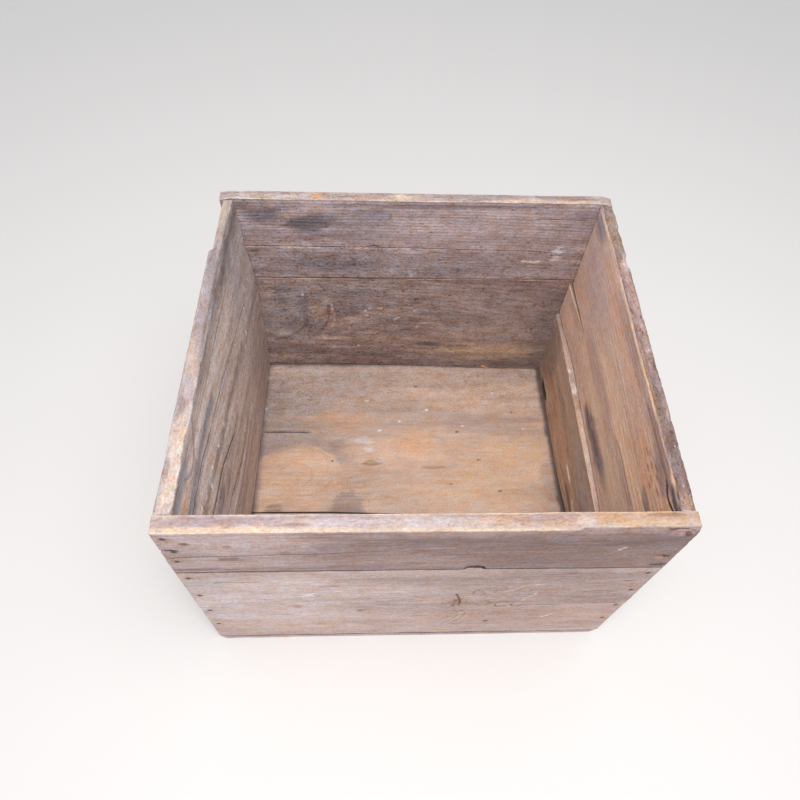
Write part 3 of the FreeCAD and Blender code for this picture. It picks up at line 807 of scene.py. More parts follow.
def rear_upper():
    """The rear wall's upper board, with a split along most of it."""
    crack = [(-193, 206), (-40, 206), (60, 204), (125, 203), (196, 198)]
    small = [(-193, 247), (60, 247), (120, 246), (178, 245), (196, 244)]
    b = Board("rear_upper_board", ("x", "z", "-y"), lines=(crack, small), seed=37)
    b.ring = b.t / 3.8 + 0.3 * rough(b.a / 150, b.t / 30, 8)
    b.lined = 0.08 + 0.25 * ramp(212, 240, b.b + 10 * rough(b.a / 40, b.b / 14, 6))
    b.aged = 0.55 + 0.25 * ramp(225, 200, b.b) + 0.15 * ramp(40, -120, b.a)
    b.base("inner", (180, 156, 152), (130, 108, 106), (90, 10))
    b.base("outer", GREY_LIGHT, GREY_DARK)
    b.base("top", (198, 176, 164), (160, 140, 134), (34, 3))
    b.base("bottom", BROWN_LIGHT, BROWN_DARK)
    end_grain(b, GREY_LIGHT, MAUVE_DARK)
    b.stains("inner", [
        (-20, 180, 190, 19, (140, 123, 121), 0.65), (-152, 246, 18, 11, (92, 80, 84), 0.8),
        (-112, 236, 20, 9, (75, 68, 73), 0.8), (-96, 243, 16, 5, (84, 76, 80), 0.6),
        (-60, 236, 50, 12, (118, 105, 108), 0.5), (-44, 248, 18, 8, (108, 100, 110), 0.4),
        (120, 215, 60, 25, (164, 136, 130), 0.5), (0, 228, 60, 12, (168, 146, 144), 0.5),
        (20, 260, 120, 2.4, (96, 84, 86), 0.45), (-80, 180, 50, 8, (108, 98, 103), 0.45),
        (30, 172, 40, 7, (106, 94, 98), 0.45)])
    for z, rx, rz in ((207, 4, 3.4), (202, 6, 3), (196, 7, 2.4), (191, 6, 2)):
        b.stain("inner", 155, z, rx, rz, (220, 208, 212), 0.7, soft=0.2, ragged=0.9, scale=3)
    b.strokes("inner", [
        ([(118, 189), (128, 187.6), (138, 188.5)], 1.8, (228, 190, 156), 0.9),
        ([(155, 191), (178, 189.5)], 0.9, (210, 168, 132), 0.8)])
    for x0, x1 in ((-190, -150), (-138, -120), (-60, -48), (-22, -6), (5, 24), (34, 58), (60, 105)):
        b.stroke("inner", [(x0, 204.6), ((x0 + x1) / 2, 205.4), (x1, 204.2)], 1.1, (206, 172, 146), 0.6)
    b.strokes("inner", [
        ([(-46, 207.6), (-42, 208.4), (-38, 207.6)], 1.3, (64, 52, 50), 0.9, 0.8),
        ([(-3, 172), (-1, 166), (-2, 161)], 1.3, (186, 166, 160), 0.7)])
    b.crack(0, -193, 150, 1.6, 0.5, "inner", 0.8)
    b.crack(1, 116, 180, 1.2, 0.45, "inner", 0.75)
    rim_patches(b, [
        (-98, 6, 8, 5, ORANGE, 0.7), (-14, 6, 10, 4, (240, 214, 184), 0.8), (120, 10, 55, 2.2, CREAM, 0.7),
        (-40, 10, 30, 1.6, (224, 180, 140), 0.6), (60, 4, 40, 4, (150, 130, 126), 0.6),
        (-150, 8, 34, 5, (216, 198, 180), 0.7), (150, 4, 28, 4, (144, 124, 118), 0.6)])
    b.radius *= 0.6
    b.cut["top"] -= 0.8
    b.cut["top"] += 2.5 * ramp(182, 196, b.a) ** 2 + 1.5 * ramp(-182, -192, b.a)
    b.seam("bottom", 0.7, 0.6)
    # Painted light and shade: the rim's top darker and the inner face lighter, making up for the light each
    # face gets.
    b.tone("top", 0.87, 0.88, 0.92)
    b.tone("inner", 1.22, 1.34, 1.38)
    middle = ramp(-70, -10, b.a) * ramp(80, 30, b.a)
    b.lighten((0.03 * middle - 0.03 * ramp(50, 110, b.a)) * b.on["inner"])
    return b, INSIDE, "inside_board", (CREAM, 0.35), 0.3


def rear_lower():
    """The rear wall's lower board: dark and mottled, with a knot. Its inner face leans in at the foot."""
    low = [(-193, 26), (0, 24), (100, 20), (196, 18)]
    b = Board("rear_lower_board", ("x", "z", "-y"), lines=(low,), seed=41)
    b.ring = np.hypot(b.b - 92, (b.a + 106) * 0.16) / 5.5 + 0.9 * rough(b.a / 90, b.b / 24, 12)
    b.lined = 0.12 + 0.12 * ramp(-60, 60, b.a)
    b.aged = 1.0 - 0.3 * ramp(-60, 140, b.a)
    b.knot(-107, 92, 14, 3.0, 0.9)
    b.base("inner", (160, 134, 124), (108, 88, 84), (60, 13))
    b.base("outer", GREY_LIGHT, GREY_DARK)
    b.base("top", TAN_DARK, BROWN_DARK)
    b.base("bottom", BROWN_LIGHT, BROWN_DARK)
    end_grain(b, GREY_LIGHT, MAUVE_DARK)
    b.stains("inner", [
        (-146, 96, 34, 42, (142, 130, 128), 0.65), (-100, 138, 80, 16, (136, 122, 122), 0.5)], scale=5)
    b.stains("inner", [
        (105, 45, 66, 16, (176, 142, 113), 0.75), (60, 34, 50, 7, (172, 142, 116), 0.4),
        (-30, 60, 70, 12, (150, 122, 106), 0.4), (20, 130, 120, 22, (122, 102, 98), 0.4),
        # The long dark bands at z 34 and 12 are painted shade, darker towards the floor.
        (-40, 34, 150, 7, (96, 78, 76), 0.5), (0, 12, 190, 9, (96, 80, 78), 0.6),
        (-60, 16, 60, 4, (132, 96, 84), 0.5), (26, 54, 16, 3.5, (72, 63, 67), 0.85),
        (58, 52, 14, 3, (84, 74, 78), 0.5), (120, 85, 60, 30, (134, 112, 104), 0.4),
        (168, 76, 16, 60, (92, 80, 80), 0.5)])
    for x, z, rx, rz in ((-123, 122, 5, 14), (-121, 98, 4, 14), (-114, 84, 7, 6), (-80, 100, 14, 5),
                         (-62, 112, 20, 5), (-50, 84, 24, 3), (-14, 96, 24, 3), (12, 80, 20, 3),
                         (-70, 66, 18, 3), (40, 104, 24, 4), (-150, 140, 16, 5), (-145, 124, 5, 4),
                         (-147, 108, 5, 4), (-141, 84, 8, 5), (-60, 138, 26, 6), (-168, 84, 5, 8),
                         (-20, 74, 16, 2.5)):
        b.stain("inner", x, z, rx, rz, (88, 80, 86), 0.5, ragged=1.1, scale=3)
    for x, z, rx, rz in ((-108, 106, 9, 9), (-162, 142, 7, 9), (-110, 145, 7, 3), (-30, 106, 18, 2.5),
                         (-60, 96, 14, 2.5), (20, 90, 20, 2), (-10, 62, 26, 3), (-90, 60, 14, 3),
                         (60, 70, 24, 3)):
        b.stain("inner", x, z, rx, rz, (176, 144, 122), 0.5, ragged=1.1, scale=3)
    for x, z, rx, rz in ((-96, 124, 5, 7), (-91, 108, 2.6, 12), (-150, 66, 10, 4), (-100, 60, 14, 3)):
        b.stain("inner", x, z, rx, rz, (182, 160, 150), 0.55, ragged=0.8, scale=3)
    b.strokes("inner", [
        ([(-94, 116), (-95, 98), (-100, 82), (-107, 70)], 2.8, (98, 62, 56), 0.65, 0.4),
        ([(-166, 30), (-160, 20), (-153, 27), (-160, 34), (-166, 30)], 1.6, (150, 122, 104), 0.6, 0.3)])
    b.stain("inner", -160, 27, 4, 5, (94, 74, 64), 0.6)
    b.strokes("inner", [
        ([(-122, 84), (-134, 70), (-146, 62), (-160, 58)], 2.6, (92, 80, 80), 0.5),
        ([(-90, 112), (-88, 96), (-92, 80)], 1.4, (190, 160, 144), 0.5)])
    for x, z in ((-52, 109), (-50, 101), (-33, 104), (-34, 113), (-16, 96), (-46, 112), (-13, 99), (6, 110),
                 (-123, 134), (-60, 46), (-90, 118), (10, 84)):
        b.stain("inner", x, z, 1.5, 1.7, (206, 192, 182), 0.85, soft=0.2)
    b.strokes("inner", [
        ([(100, 13), (106, 9), (112, 7)], 1.5, (226, 152, 84), 0.95),
        ([(112, 8), (118, 6.5), (126, 4.5)], 1.0, (214, 168, 118), 0.85),
        ([(122, 5), (150, 6), (174, 5)], 0.8, (196, 172, 150), 0.6)])
    b.crack(0, -100, 60, 0.5, 0.5, "inner", 0.3)
    b.radius *= 1 - 0.6 * (b.b_box > b.width / 2)
    b.strokes("inner", [
        ([(-192, 159), (-120, 159.4), (-60, 159)], 1.0, (176, 152, 140), 0.5),
        ([(30, 159.6), (90, 160), (186, 159.6)], 1.1, (160, 118, 102), 0.6)])
    b.cut["top"] -= 0.8 * ramp(-10, 60, b.a)
    inside = ramp(-192, -182, b.a) * ramp(184, 176, b.a)
    b.cut["inner"] -= (2.0 + 8.0 * ramp(-120, 170, b.a)) * ramp(150, 50, b.b) * inside
    b.seam("top", 0.5, 0.6)
    b.stain("inner", 10, 84, 90, 40, (122, 101, 94), 0.25)
    # Painted light: the inner face lighter, making up for the light it misses inside.
    b.tone("inner", 1.48, 1.64, 1.68)
    return b, INSIDE, "inside_board", (TAN_LIGHT, 0.6), 0.0


def left_side():
    """The wide cupped board on the left, with its drying splits."""
    splits = (
        [(-163, 61), (-64, 54), (1, 43), (66, 43), (165, 36)],
        [(-163, 100), (-100, 94), (-61, 87), (-28, 83), (12, 84), (37, 88), (90, 74), (165, 56)],
        [(-163, 134), (-110, 130), (-81, 124), (-58, 113), (-31, 100), (36, 97), (90, 88), (165, 74)],
        [(-163, 146), (-110, 142), (-60, 138), (-25, 135), (10, 127), (35, 121), (91, 110), (165, 96)],
        [(-163, 176), (-123, 175), (-98, 172), (-73, 169), (-42, 156), (-30, 149), (20, 142), (165, 128)],
        [(-163, 221), (-123, 222), (-97, 222), (-83, 218), (-49, 212), (-8, 207), (41, 196), (165, 172)],
        [(-163, 252), (-40, 247), (60, 240), (165, 231)])
    b = Board("left_side_board", ("y", "z", "x"), LEFT_THICKNESS, LEFT_LEAN, splits, seed=53,
              step=3.0, row=1.04)
    b.ring = b.t / 6.5 + 0.7 * rough(b.a / 130, b.t / 22, 14)
    b.base("inner", (172, 150, 138), (148, 126, 117), (90, 11))
    b.base("outer", GREY_LIGHT, GREY_DARK, (90, 9))
    b.base("top", (200, 180, 170), (158, 140, 138), (26, 4))
    b.aged = 0.35 + 0.25 * b.on["inner"] + 0.08 * b.on["top"]
    b.base("bottom", BROWN_LIGHT, BROWN_DARK)
    end_grain(b, GREY_LIGHT, MAUVE_DARK)
    b.stains("inner", [
        (120, 210, 50, 50, (146, 136, 136), 0.6), (120, 60, 60, 50, (132, 112, 106), 0.5),
        (-108, 252, 28, 9, (136, 110, 102), 0.5), (74, 257, 14, 6, (130, 94, 84), 0.6),
        (-102, 160, 16, 8, (98, 84, 80), 0.7), (-80, 143, 12, 5, (102, 88, 82), 0.6)])
    for points, width, colour, strength in (
            ([(-42, 226), (-64, 229), (-102, 231), (-135, 229), (-163, 227)], 8, (104, 97, 102), 0.65),
            ([(60, 170), (-12, 181), (-57, 185), (-99, 191), (-119, 195), (-163, 196)],
             7, (112, 94, 87), 0.6),
            ([(0, 236), (-52, 240), (-91, 244), (-125, 246)], 7, (184, 166, 158), 0.6),
            ([(-122, 258), (-148, 256), (-163, 255)], 9, (124, 117, 122), 0.65),
            ([(10, 112), (-30, 117), (-60, 125)], 9, (182, 158, 140), 0.5),
            ([(29, 42), (-10, 43), (-60, 46), (-130, 50)], 12, (172, 150, 132), 0.45),
            ([(165, 150), (90, 160), (20, 168)], 8, (124, 108, 102), 0.5),
            ([(60, 62), (0, 64), (-70, 68), (-140, 76)], 7, (122, 104, 96), 0.5),
            ([(42, 92), (-3, 93), (-26, 96), (-50, 101), (-110, 109)], 3, (192, 176, 164), 0.65),
            ([(-84, 262), (-100, 246), (-118, 242), (-130, 252)], 2.4, (104, 88, 86), 0.6),
            ([(-136, 241), (-145, 242), (-152, 243), (-162, 245)], 2.0, (186, 118, 74), 0.85)):
        b.stroke("inner", points, width, colour, strength)
    for y, z in ((85, 163), (96, 170), (99, 182), (118, 178), (121, 190), (139, 186), (70, 158), (-40, 186),
                 (-64, 190), (-88, 196), (-120, 198), (-132, 204), (-104, 190)):
        b.stain("inner", y, z, 1.8, 3.2, (196, 186, 180), 0.8, soft=0.2)
    b.crack(5, -60, 112, 2.0, 0.7, dark=0.8, shade=0.3)
    b.crack(5, -160, -60, 3.4, 1.3, dark=1.0, shade=0.6)
    b.crack(2, -130, 42, 3.2, 1.1, dark=1.0, lips=0.3, shade=0.5)
    b.crack(3, -20, 92, 2.2, 0.9, dark=0.95, shade=0.3)
    b.crack(1, -110, 40, 2.6, 1.2, dark=1.0, lips=0.4, shade=0.6)
    b.crack(0, -150, 68, 3.8, 1.2, dark=1.0, lips=0.7, shade=0.5)
    b.crack(4, 30, 165, 1.6, 0.8, dark=0.8, shade=0.2)
    b.crack(4, -163, 0, 3.4, 1.5, dark=1.0, lips=0.3, shade=0.7)
    b.crack(6, -42, 62, 1.4, 0.8, dark=0.8, shade=0.3)
    rim_patches(b, [
        (-60, 7, 60, 5, (180, 160, 158), 0.6), (40, 7, 50, 5, (150, 134, 140), 0.7),
        (20, 11, 30, 2, (176, 150, 130), 0.6), (-105, 6, 34, 6, (222, 202, 184), 0.75),
        (-145, 9, 16, 5, (224, 200, 180), 0.7), (-118, 12, 30, 1.6, CREAM, 0.6),
        (-20, 3, 24, 3, (204, 178, 154), 0.6), (-128, 9, 12, 3, (206, 178, 168), 0.6),
        (-76, 4, 10, 4, (128, 110, 114), 0.6), (-128, 3, 8, 3, (134, 114, 112), 0.6),
        (140, 5, 24, 4, (200, 172, 142), 0.7), (84, 5, 20, 3, (132, 116, 118), 0.6),
        (-34, 8, 10, 3, (212, 160, 120), 0.5), (0, 3, 8, 2.4, (140, 122, 124), 0.6)])
    cup = np.interp(b.b, (8, 57, 95, 125, 160, 180, 200, 235, 266),
                    (3.5, 5, 6.2, 6.5, 6.3, 5, 3.2, 1.2, 0))
    b.bend += 0.5 * cup
    b.cut["inner"] -= 0.5 * cup
    b.cut["outer"] += 3.2 * ramp(94, 95, b.a) * ramp(12, 3, b.width - b.b_box)
    to_top = b.width - b.b_box + 2.0 * rough(b.a / 7, 0.0, 6, 4)
    dark_rim_span = ramp(-60, 20, b.a) * ramp(155, 120, b.a)
    b.cut["inner"] += 0.5 * ramp(3, 0, to_top)
    uneven = 0.75 + 0.5 * rough(b.a / 18, b.t / 5, 34)
    deep = to_top + 7 * rough(b.a / 30, 1.0, 35, 4)
    b.blend_to((0.58 + 0.2 * ramp(-60, 40, b.a)) * uneven * b.on["inner"] * ramp(24, 2, deep), (86, 75, 75))
    inner_edge = b.thickness - b.w + 0.8 * rough(b.a / 5, 3.0, 8)
    # Darker along the rim's inner edge over that span.
    b.blend_to(0.65 * dark_rim_span * b.on["top"] * ramp(4.4, 1.6, inner_edge), (98, 86, 86))
    # Painted light: the inner face lighter, making up for the light it misses inside.
    b.tone("inner", 1.6, 1.8, 1.9)
    b.lighten((0.07 * ramp(130, 60, b.a) + 0.08 * ramp(-30, -110, b.a) - 0.035) * b.on["inner"])
    b.cut["start"] -= 0.7
    # Painted shade: the rim's top a little darker against the light it gets.
    b.tone("top", 0.91, 0.94, 0.95)
    return b, INSIDE, "weathered_board", (CREAM, 0.0), 0.8


def right_upper():
    """The wide board on the right, with a strip split off its foot near the rear corner."""
    split = [(-164, 150), (0, 155), (73, 158), (98, 157), (166, 155)]
    grain = [(-164, 170), (166, 176)]
    b = Board("right_upper_board", ("y", "z", "-x"), RIGHT_UPPER_THICKNESS, RIGHT_UPPER_LEAN,
              (split, grain), seed=67)
    b.ring = b.t / 6 + 0.9 * rough(b.a / 110, b.t / 26, 15)
    b.base("inner", (187, 151, 131), (170, 137, 120), (50, 18))
    b.base("outer", GREY_LIGHT, GREY_DARK, (90, 9))
    b.base("top", (148, 126, 118), (104, 88, 86), (18, 4))
    b.aged = 0.22 + 0.6 * b.on["top"]
    b.lined *= 0.4
    b.base("bottom", BROWN_LIGHT, BROWN_DARK)
    end_grain(b, GREY_LIGHT, MAUVE_DARK)
    b.stains("inner", [
        (146, 253, 20, 10, (104, 98, 110), 0.7), (120, 226, 50, 24, (166, 142, 138), 0.55),
        (60, 205, 60, 22, (190, 156, 132), 0.5), (20, 240, 90, 12, (186, 134, 108), 0.5),
        (-115, 226, 44, 18, (190, 132, 98), 0.55), (-60, 195, 90, 14, (206, 164, 128), 0.5),
        (-40, 150, 110, 14, (190, 156, 126), 0.5), (30, 176, 70, 6, (148, 118, 110), 0.5),
        (-100, 180, 50, 6, (140, 110, 100), 0.5), (-130, 150, 30, 12, (170, 138, 118), 0.5),
        (-108, 258, 44, 9, (104, 78, 74), 0.75), (-128, 247, 18, 7, (104, 78, 74), 0.6)])
    b.stain("inner", -130, 212, 14, 4.5, (98, 84, 84), 0.8, soft=0.3)
    b.stain("inner", -150, 222, 8, 4, (112, 94, 90), 0.5)
    b.strokes("inner", [
        ([(-56, 182), (-72, 184), (-97, 183), (-120, 182)], 1.2, (112, 84, 72), 0.6, 0.3),
        ([(-40, 214), (-70, 215), (-100, 214)], 1.2, (120, 90, 80), 0.5)])
    for y, z in ((-98, 236), (-104, 240), (-112, 238), (-118, 244), (-120, 232), (-126, 241), (-131, 246),
                 (-110, 230), (-134, 236), (-124, 226)):
        b.stain("inner", y, z, 3.4, 1.8, (122, 76, 60), 0.6, soft=0.2, ragged=0.8, scale=3)
    b.stain("inner", 14, 128, 8, 3, (150, 124, 88), 0.8, soft=0.2)
    b.stroke("inner", [(44, 122), (34, 128), (18, 132), (4, 135)], 1.8, (160, 136, 110), 0.6)
    b.stain("inner", 2, 124, 18, 7, (78, 68, 70), 0.8, ragged=0.3)
    b.stain("inner", -28, 129, 28, 11, (78, 68, 71), 0.8, soft=0.5, ragged=0.5)
    b.stain("inner", -56, 134, 20, 8, (88, 77, 78), 0.65, soft=0.6)
    b.stains("inner", [
        (96, 212, 60, 26, (156, 132, 130), 0.5), (-10, 255, 60, 8, (136, 108, 100), 0.55),
        (44, 168, 40, 12, (150, 122, 112), 0.45), (-96, 204, 40, 12, (186, 142, 112), 0.5),
        (156, 216, 8, 2.5, (180, 150, 124), 0.8)])
    strip = b.t <= b.marks[0] + 0.01
    # Painted shadow in the gap above the split strip, towards the rear where the strip stands out.
    above = ~strip * ramp(2.4, 0.6, b.t - b.marks[0])
    b.shade_and_grime = np.maximum(b.shade_and_grime, above * ramp(84, 104, b.a) * 0.9 * b.on["inner"])
    bare = strip * ramp(15, 8, b.marks[0] - b.t) * ramp(74, 100, b.a) * ramp(154, 136, b.a)
    b.blend_to(0.8 * b.on["inner"] * bare * (0.7 + 0.4 * noise(b.a / 6, b.t / 2, 9)), (158, 128, 103))
    # Painted light: the inner face lighter and the rim's top a little lighter, making up for the light each
    # gets.
    b.tone("inner", 1.78, 2.0, 2.12)
    b.tone("top", 1.1, 1.08, 1.06)
    b.stain("inner", -154, 262, 12, 6, (96, 86, 92), 0.9, soft=0.15, ragged=0.3)
    b.stain("inner", -152, 241, 8, 9, (226, 176, 136), 0.85, soft=0.15, ragged=0.4)
    b.stroke("inner", [(-136, 254), (-143, 250), (-151, 250), (-163, 254)], 1.9, (34, 26, 26), 0.95, 1.2)
    b.crack(1, -120, 120, 0.6, 0.4, dark=0.35)
    # The inner edge of the rim is torn off in lengths of pale wood, from the rear to the front.
    edge = b.width - b.b_box + 1.6 * rough(b.a / 9, 0.0, 4, 4)
    for a0, a1, strength in ((150, 120, 0.5), (66, 22, 0.9), (14, -22, 0.6), (-26, -86, 1.0),
                             (-96, -116, 0.7), (-132, -158, 0.9)):
        torn = ramp(a0 + 4, a0 - 4, b.a) * ramp(a1 - 4, a1 + 4, b.a) * ramp(3.6, 0.8, edge) * b.on["inner"]
        b.blend_to(torn * strength * ramp(-0.5, 0.3, rough(b.a / 5, edge / 3, 21)), (240, 196, 150))
        b.cut["inner"] += 1.0 * torn
    rim_patches(b, [
        (-50, 11, 60, 1.4, (190, 138, 96), 0.6), (30, 5, 60, 5, (178, 146, 136), 0.75),
        (85, 2.5, 10, 3, (206, 174, 170), 0.8), (130, 6, 34, 6, (164, 140, 122), 0.7),
        (-110, 5, 46, 6, (112, 92, 86), 0.75), (0, 8, 24, 3, (124, 100, 96), 0.5),
        (-158, 6, 8, 5, (164, 134, 112), 0.7), (-60, 3, 20, 2, (150, 132, 128), 0.6),
        (-84, 2, 10, 2, (176, 160, 156), 0.5), (-128, 8, 12, 3, (128, 112, 114), 0.6)])
    b.cut["outer"] += 1.3 * ramp(95, 90, b.a) * ramp(76, 80, b.a) * ramp(10, 2, b.width - b.b_box)
    splintered = 0.6 * ramp(0, 0.6, rough(b.a / 5, 2.0, 31, 4)) * ramp(-0.2, 0.4, rough(b.a / 24, 5.0, 32))
    b.cut["outer"] += splintered * ramp(5, 1, b.width - b.b_box)
    b.bend += strip * 4.0 * ramp(84, 166, b.a)
    b.cut["start"] -= 0.7
    b.seam("bottom", 0.75, 1.4)
    return b, INSIDE, "inside_board", (TAN_DARK, 0.1), 0.7


def right_lower():
    """The narrower board under it, a few millimetres further in. The rear part of its foot is broken."""
    check = [(-164, 47), (166, 49)]
    b = Board("right_lower_board", ("y", "z", "-x"), RIGHT_LOWER_THICKNESS, RIGHT_LOWER_LEAN,
              (check,), seed=71)
    b.ring = b.t / 5 + 0.6 * rough(b.a / 110, b.t / 20, 16)
    b.base("inner", (182, 140, 116), (128, 98, 84), (70, 12))
    b.base("outer", GREY_LIGHT, GREY_DARK, (90, 9))
    b.base("top", (206, 178, 160), (170, 144, 132), (30, 4))
    # The underside painted dark: painted shade where the broken-out foot shows it.
    b.base("bottom", DARK, DARK)
    end_grain(b, GREY_LIGHT, MAUVE_DARK)
    b.stains("inner", [
        (0, 92, 150, 12, (158, 130, 116), 0.6), (-60, 84, 60, 12, (150, 130, 122), 0.6),
        (60, 40, 90, 14, (176, 128, 98), 0.5), (140, 60, 26, 50, (112, 92, 88), 0.5)])
    b.stain("inner", -20, 50, 12, 3, (232, 222, 218), 0.85, soft=0.2, ragged=0.5)
    b.stains("inner", [
        (-60, 44, 16, 3, (220, 208, 204), 0.6), (-44, 34, 24, 4, (106, 68, 56), 0.7)])
    # Painted shade: a near-black oval standing in for a shadowed gap between the foot and the floor.
    b.stain("inner", 118, 14, 14, 6, (40, 32, 32), 0.9, ragged=0.6)
    for a, w, ra, rw in ((53, 11, 6, 3), (78, 12, 3, 2), (49, 12, 3, 3)):
        b.stain("top", a, w, ra, rw, (246, 236, 232), 0.95, soft=0.2)
    b.stains("top", [
        (20, 11, 20, 2, (226, 180, 142), 0.6), (-30, 10, 40, 3, (232, 206, 186), 0.6)])
    broken = ramp(22, -110, b.a)
    b.cut["bottom"] += 15 * broken * ramp(3, 7, b.w)
    # Painted shade along the broken foot's lower edge.
    b.shade_and_grime = np.maximum(b.shade_and_grime, 0.9 * broken ** 0.5 * ramp(3.0, 1.0, b.b_box) * b.on["inner"])
    b.cut["end"] += 4.0 * ramp(100, 20, b.b)
    b.crack(0, -150, 150, 0.5, 0.4, dark=0.3)
    b.cut["start"] -= 0.7
    # Painted light: the inner face lighter, making up for the light it misses inside.
    b.tone("inner", 1.56, 1.9, 2.04)
    return b, INSIDE, "inside_board", (TAN_LIGHT, 0.6), 0.25


def floor_edge_dirt_and_shade(b, x0, x1, y0, y1):
    """Dirt and painted shade where the bottom meets the walls' inner faces, or NO_WALL: a brown band of
    dirt and shade, and near black in the gap along the wall.
    """
    ragged = 2.5 * rough(b.a / 10, b.b / 10, b.seed + 8, 4)
    for gap, reach in ((b.a - x0, 9), (x1 - b.a, 5), (b.b - y0, 5), (y1 - b.b, 7)):
        b.blend_to(0.6 * b.on["inner"] * ramp(reach, 0, gap + ragged), (112, 94, 88))
        # Painted shade, near black, in the gap along the wall.
        b.shade_and_grime = np.maximum(b.shade_and_grime, 0.5 * b.on["inner"] * ramp(2.6, 0.2, gap + 0.4 * ragged))


def bottom_rear():
    """The wide bottom board, seen from above as the crate's floor."""
    crack = [(-192, 61), (-175, 60), (-110, 60), (190, 66)]
    b = Board("bottom_rear_board", ("x", "y", "z"), lines=(crack,), seed=83)
    b.ring = np.hypot(b.b - 14, (b.a + 131) * 0.2) / 7 + 0.6 * rough(b.a / 90, b.b / 30, 18)
    b.lined = 0.05 + 0.12 * ramp(90, 30, np.hypot((b.a + 131) * 0.5, b.b - 10))
    b.aged = 0.2 + 0.35 * ramp(60, 120, b.b) + 0.2 * ramp(-60, -150, b.a) * ramp(0, 60, b.b)
    b.base("inner", TAN_LIGHT, (190, 156, 136), (90, 20))
    b.base("outer", GREY_LIGHT, GREY_DARK, (110, 12))
    for edge in ("top", "bottom"):
        b.base(edge, MAUVE_LIGHT, MAUVE_DARK)
    end_grain(b, GREY_LIGHT, MAUVE_DARK)
    for x, y, rx, ry, colour, strength in (
            (-110, 130, 80, 45, (174, 152, 143), 0.75), (60, 150, 130, 22, (182, 156, 142), 0.6),
            (-150, 80, 50, 40, (158, 141, 133), 0.7), (-60, 62, 60, 10, (176, 150, 138), 0.5),
            (0, 110, 70, 22, (200, 168, 144), 0.4), (-20, 96, 44, 18, (158, 138, 130), 0.35),
            (-90, 80, 40, 7, (212, 156, 118), 0.75), (-84, 68, 44, 4, (212, 154, 112), 0.75),
            (-166, 108, 16, 40, (142, 124, 117), 0.5), (-30, 92, 60, 4, (170, 142, 126), 0.5),
            (60, 100, 70, 5, (208, 172, 146), 0.5), (120, 76, 50, 4, (158, 134, 122), 0.5),
            (-120, 70, 50, 5, (148, 130, 122), 0.5), (20, 72, 70, 4, (166, 138, 124), 0.5),
            (90, 20, 60, 4, (204, 162, 130), 0.5), (60, -8, 90, 4, (196, 156, 128), 0.45),
            (-20, -20, 60, 5, (202, 162, 134), 0.45), (40, 128, 60, 4, (164, 138, 126), 0.5),
            (-40, 140, 60, 5, (176, 152, 140), 0.5), (130, 110, 40, 4, (170, 144, 130), 0.5),
            (40, 84, 40, 7, (160, 138, 128), 0.4), (100, 64, 60, 7, (172, 146, 132), 0.45),
            (3, 44, 26, 14, (230, 174, 134), 0.8), (8, 54, 12, 10, (226, 170, 132), 0.6),
            (16, 30, 24, 5, (224, 172, 134), 0.6), (128, 36, 48, 16, (226, 184, 146), 0.65),
            (-128, 4, 46, 36, (222, 178, 146), 0.75), (-118, 14, 22, 10, (226, 186, 158), 0.6),
            (110, -4, 60, 34, (232, 188, 150), 0.6), (60, -26, 60, 10, (218, 176, 140), 0.5),
            (-164, 42, 20, 12, (160, 138, 130), 0.6), (130, 60, 50, 5, (174, 146, 130), 0.4)):
        b.stain("inner", x, y, rx, ry, colour, strength)
    oval = np.hypot((b.a + 130) / 52, b.b / 42) + 0.08 * rough(b.a / 14, b.b / 9, 33)
    ring = ramp(0.96, 1.04, oval) * ramp(1.5, 1.05, oval) * ramp(6, 24, b.b)
    b.blend_to(0.5 * b.on["inner"] * ring, (156, 134, 125))
    b.stain("inner", -71, -37, 17, 17, (152, 131, 122), 0.75, soft=0.15, ragged=0.3, scale=6)
    b.stain("inner", -72, -46, 26, 8, (152, 131, 122), 0.7, soft=0.25, ragged=0.35, scale=6)
    b.stain("inner", -153, -42, 9, 7, (140, 117, 108), 0.7, soft=0.3, ragged=0.4)
    b.stain("inner", -44.5, 17, 10.5, 4, (166, 126, 94), 0.85, soft=0.15)
    b.stain("inner", -44, 18, 4, 1.6, (196, 156, 116), 0.6)
    b.stain("inner", 30, 11, 13, 2.2, (172, 134, 104), 0.75, soft=0.2)
    b.stains("inner", [
        (-51, 48, 8, 6, (226, 214, 208), 0.7), (-46, 38, 5, 5, (222, 208, 202), 0.6)], soft=0.2, ragged=0.9)
    b.stain("inner", -84, 42, 9, 8, (150, 130, 122), 0.6, ragged=0.6)
    b.stains("inner", [
        (154, 99, 20, 2, (208, 190, 176), 0.7), (150, 94, 16, 1.4, (206, 188, 174), 0.6),
        (168, 96, 4, 7, (204, 190, 182), 0.6), (168, -6, 12, 30, (164, 140, 128), 0.6),
        (-10, 84, 130, 34, (182, 153, 138), 0.3)])
    for x, y in ((47, -11), (83, 21), (130, 88), (-20, 74), (12, 128), (-90, 20), (104, -20), (60, 60)):
        b.stain("inner", x, y, 1.5, 1.5, (84, 66, 58), 0.9, soft=0.2)
    for x, y in ((-50, 105), (67, 68), (-10, 75), (110, 118), (-34, 62), (-174, 94), (24, 92), (142, 64)):
        b.stain("inner", x, y, 1.7, 1.5, (240, 232, 226), 0.95, soft=0.2)
    for points in (((-150, 34), (-128, 40), (-104, 32), (-94, 14), (-104, -8)),
                   ((-150, 8), (-136, 18), (-118, 12), (-112, 0), (-122, -12)),
                   ((-146, -14), (-128, -24), (-104, -20), (-90, -6))):
        b.stroke("inner", points, 1.8, (196, 150, 122), 0.4)
    b.crack(0, -178, -112, 1.6, 0.5, dark=0.8, shade=0.3)
    b.cut["bottom"] += 1.1 - 3.4 * ramp(-120, 20, b.a)
    b.radius *= 1 - 0.6 * (b.b_box < b.width / 2)
    floor_edge_dirt_and_shade(b, -177, 171.5, -NO_WALL, 163)
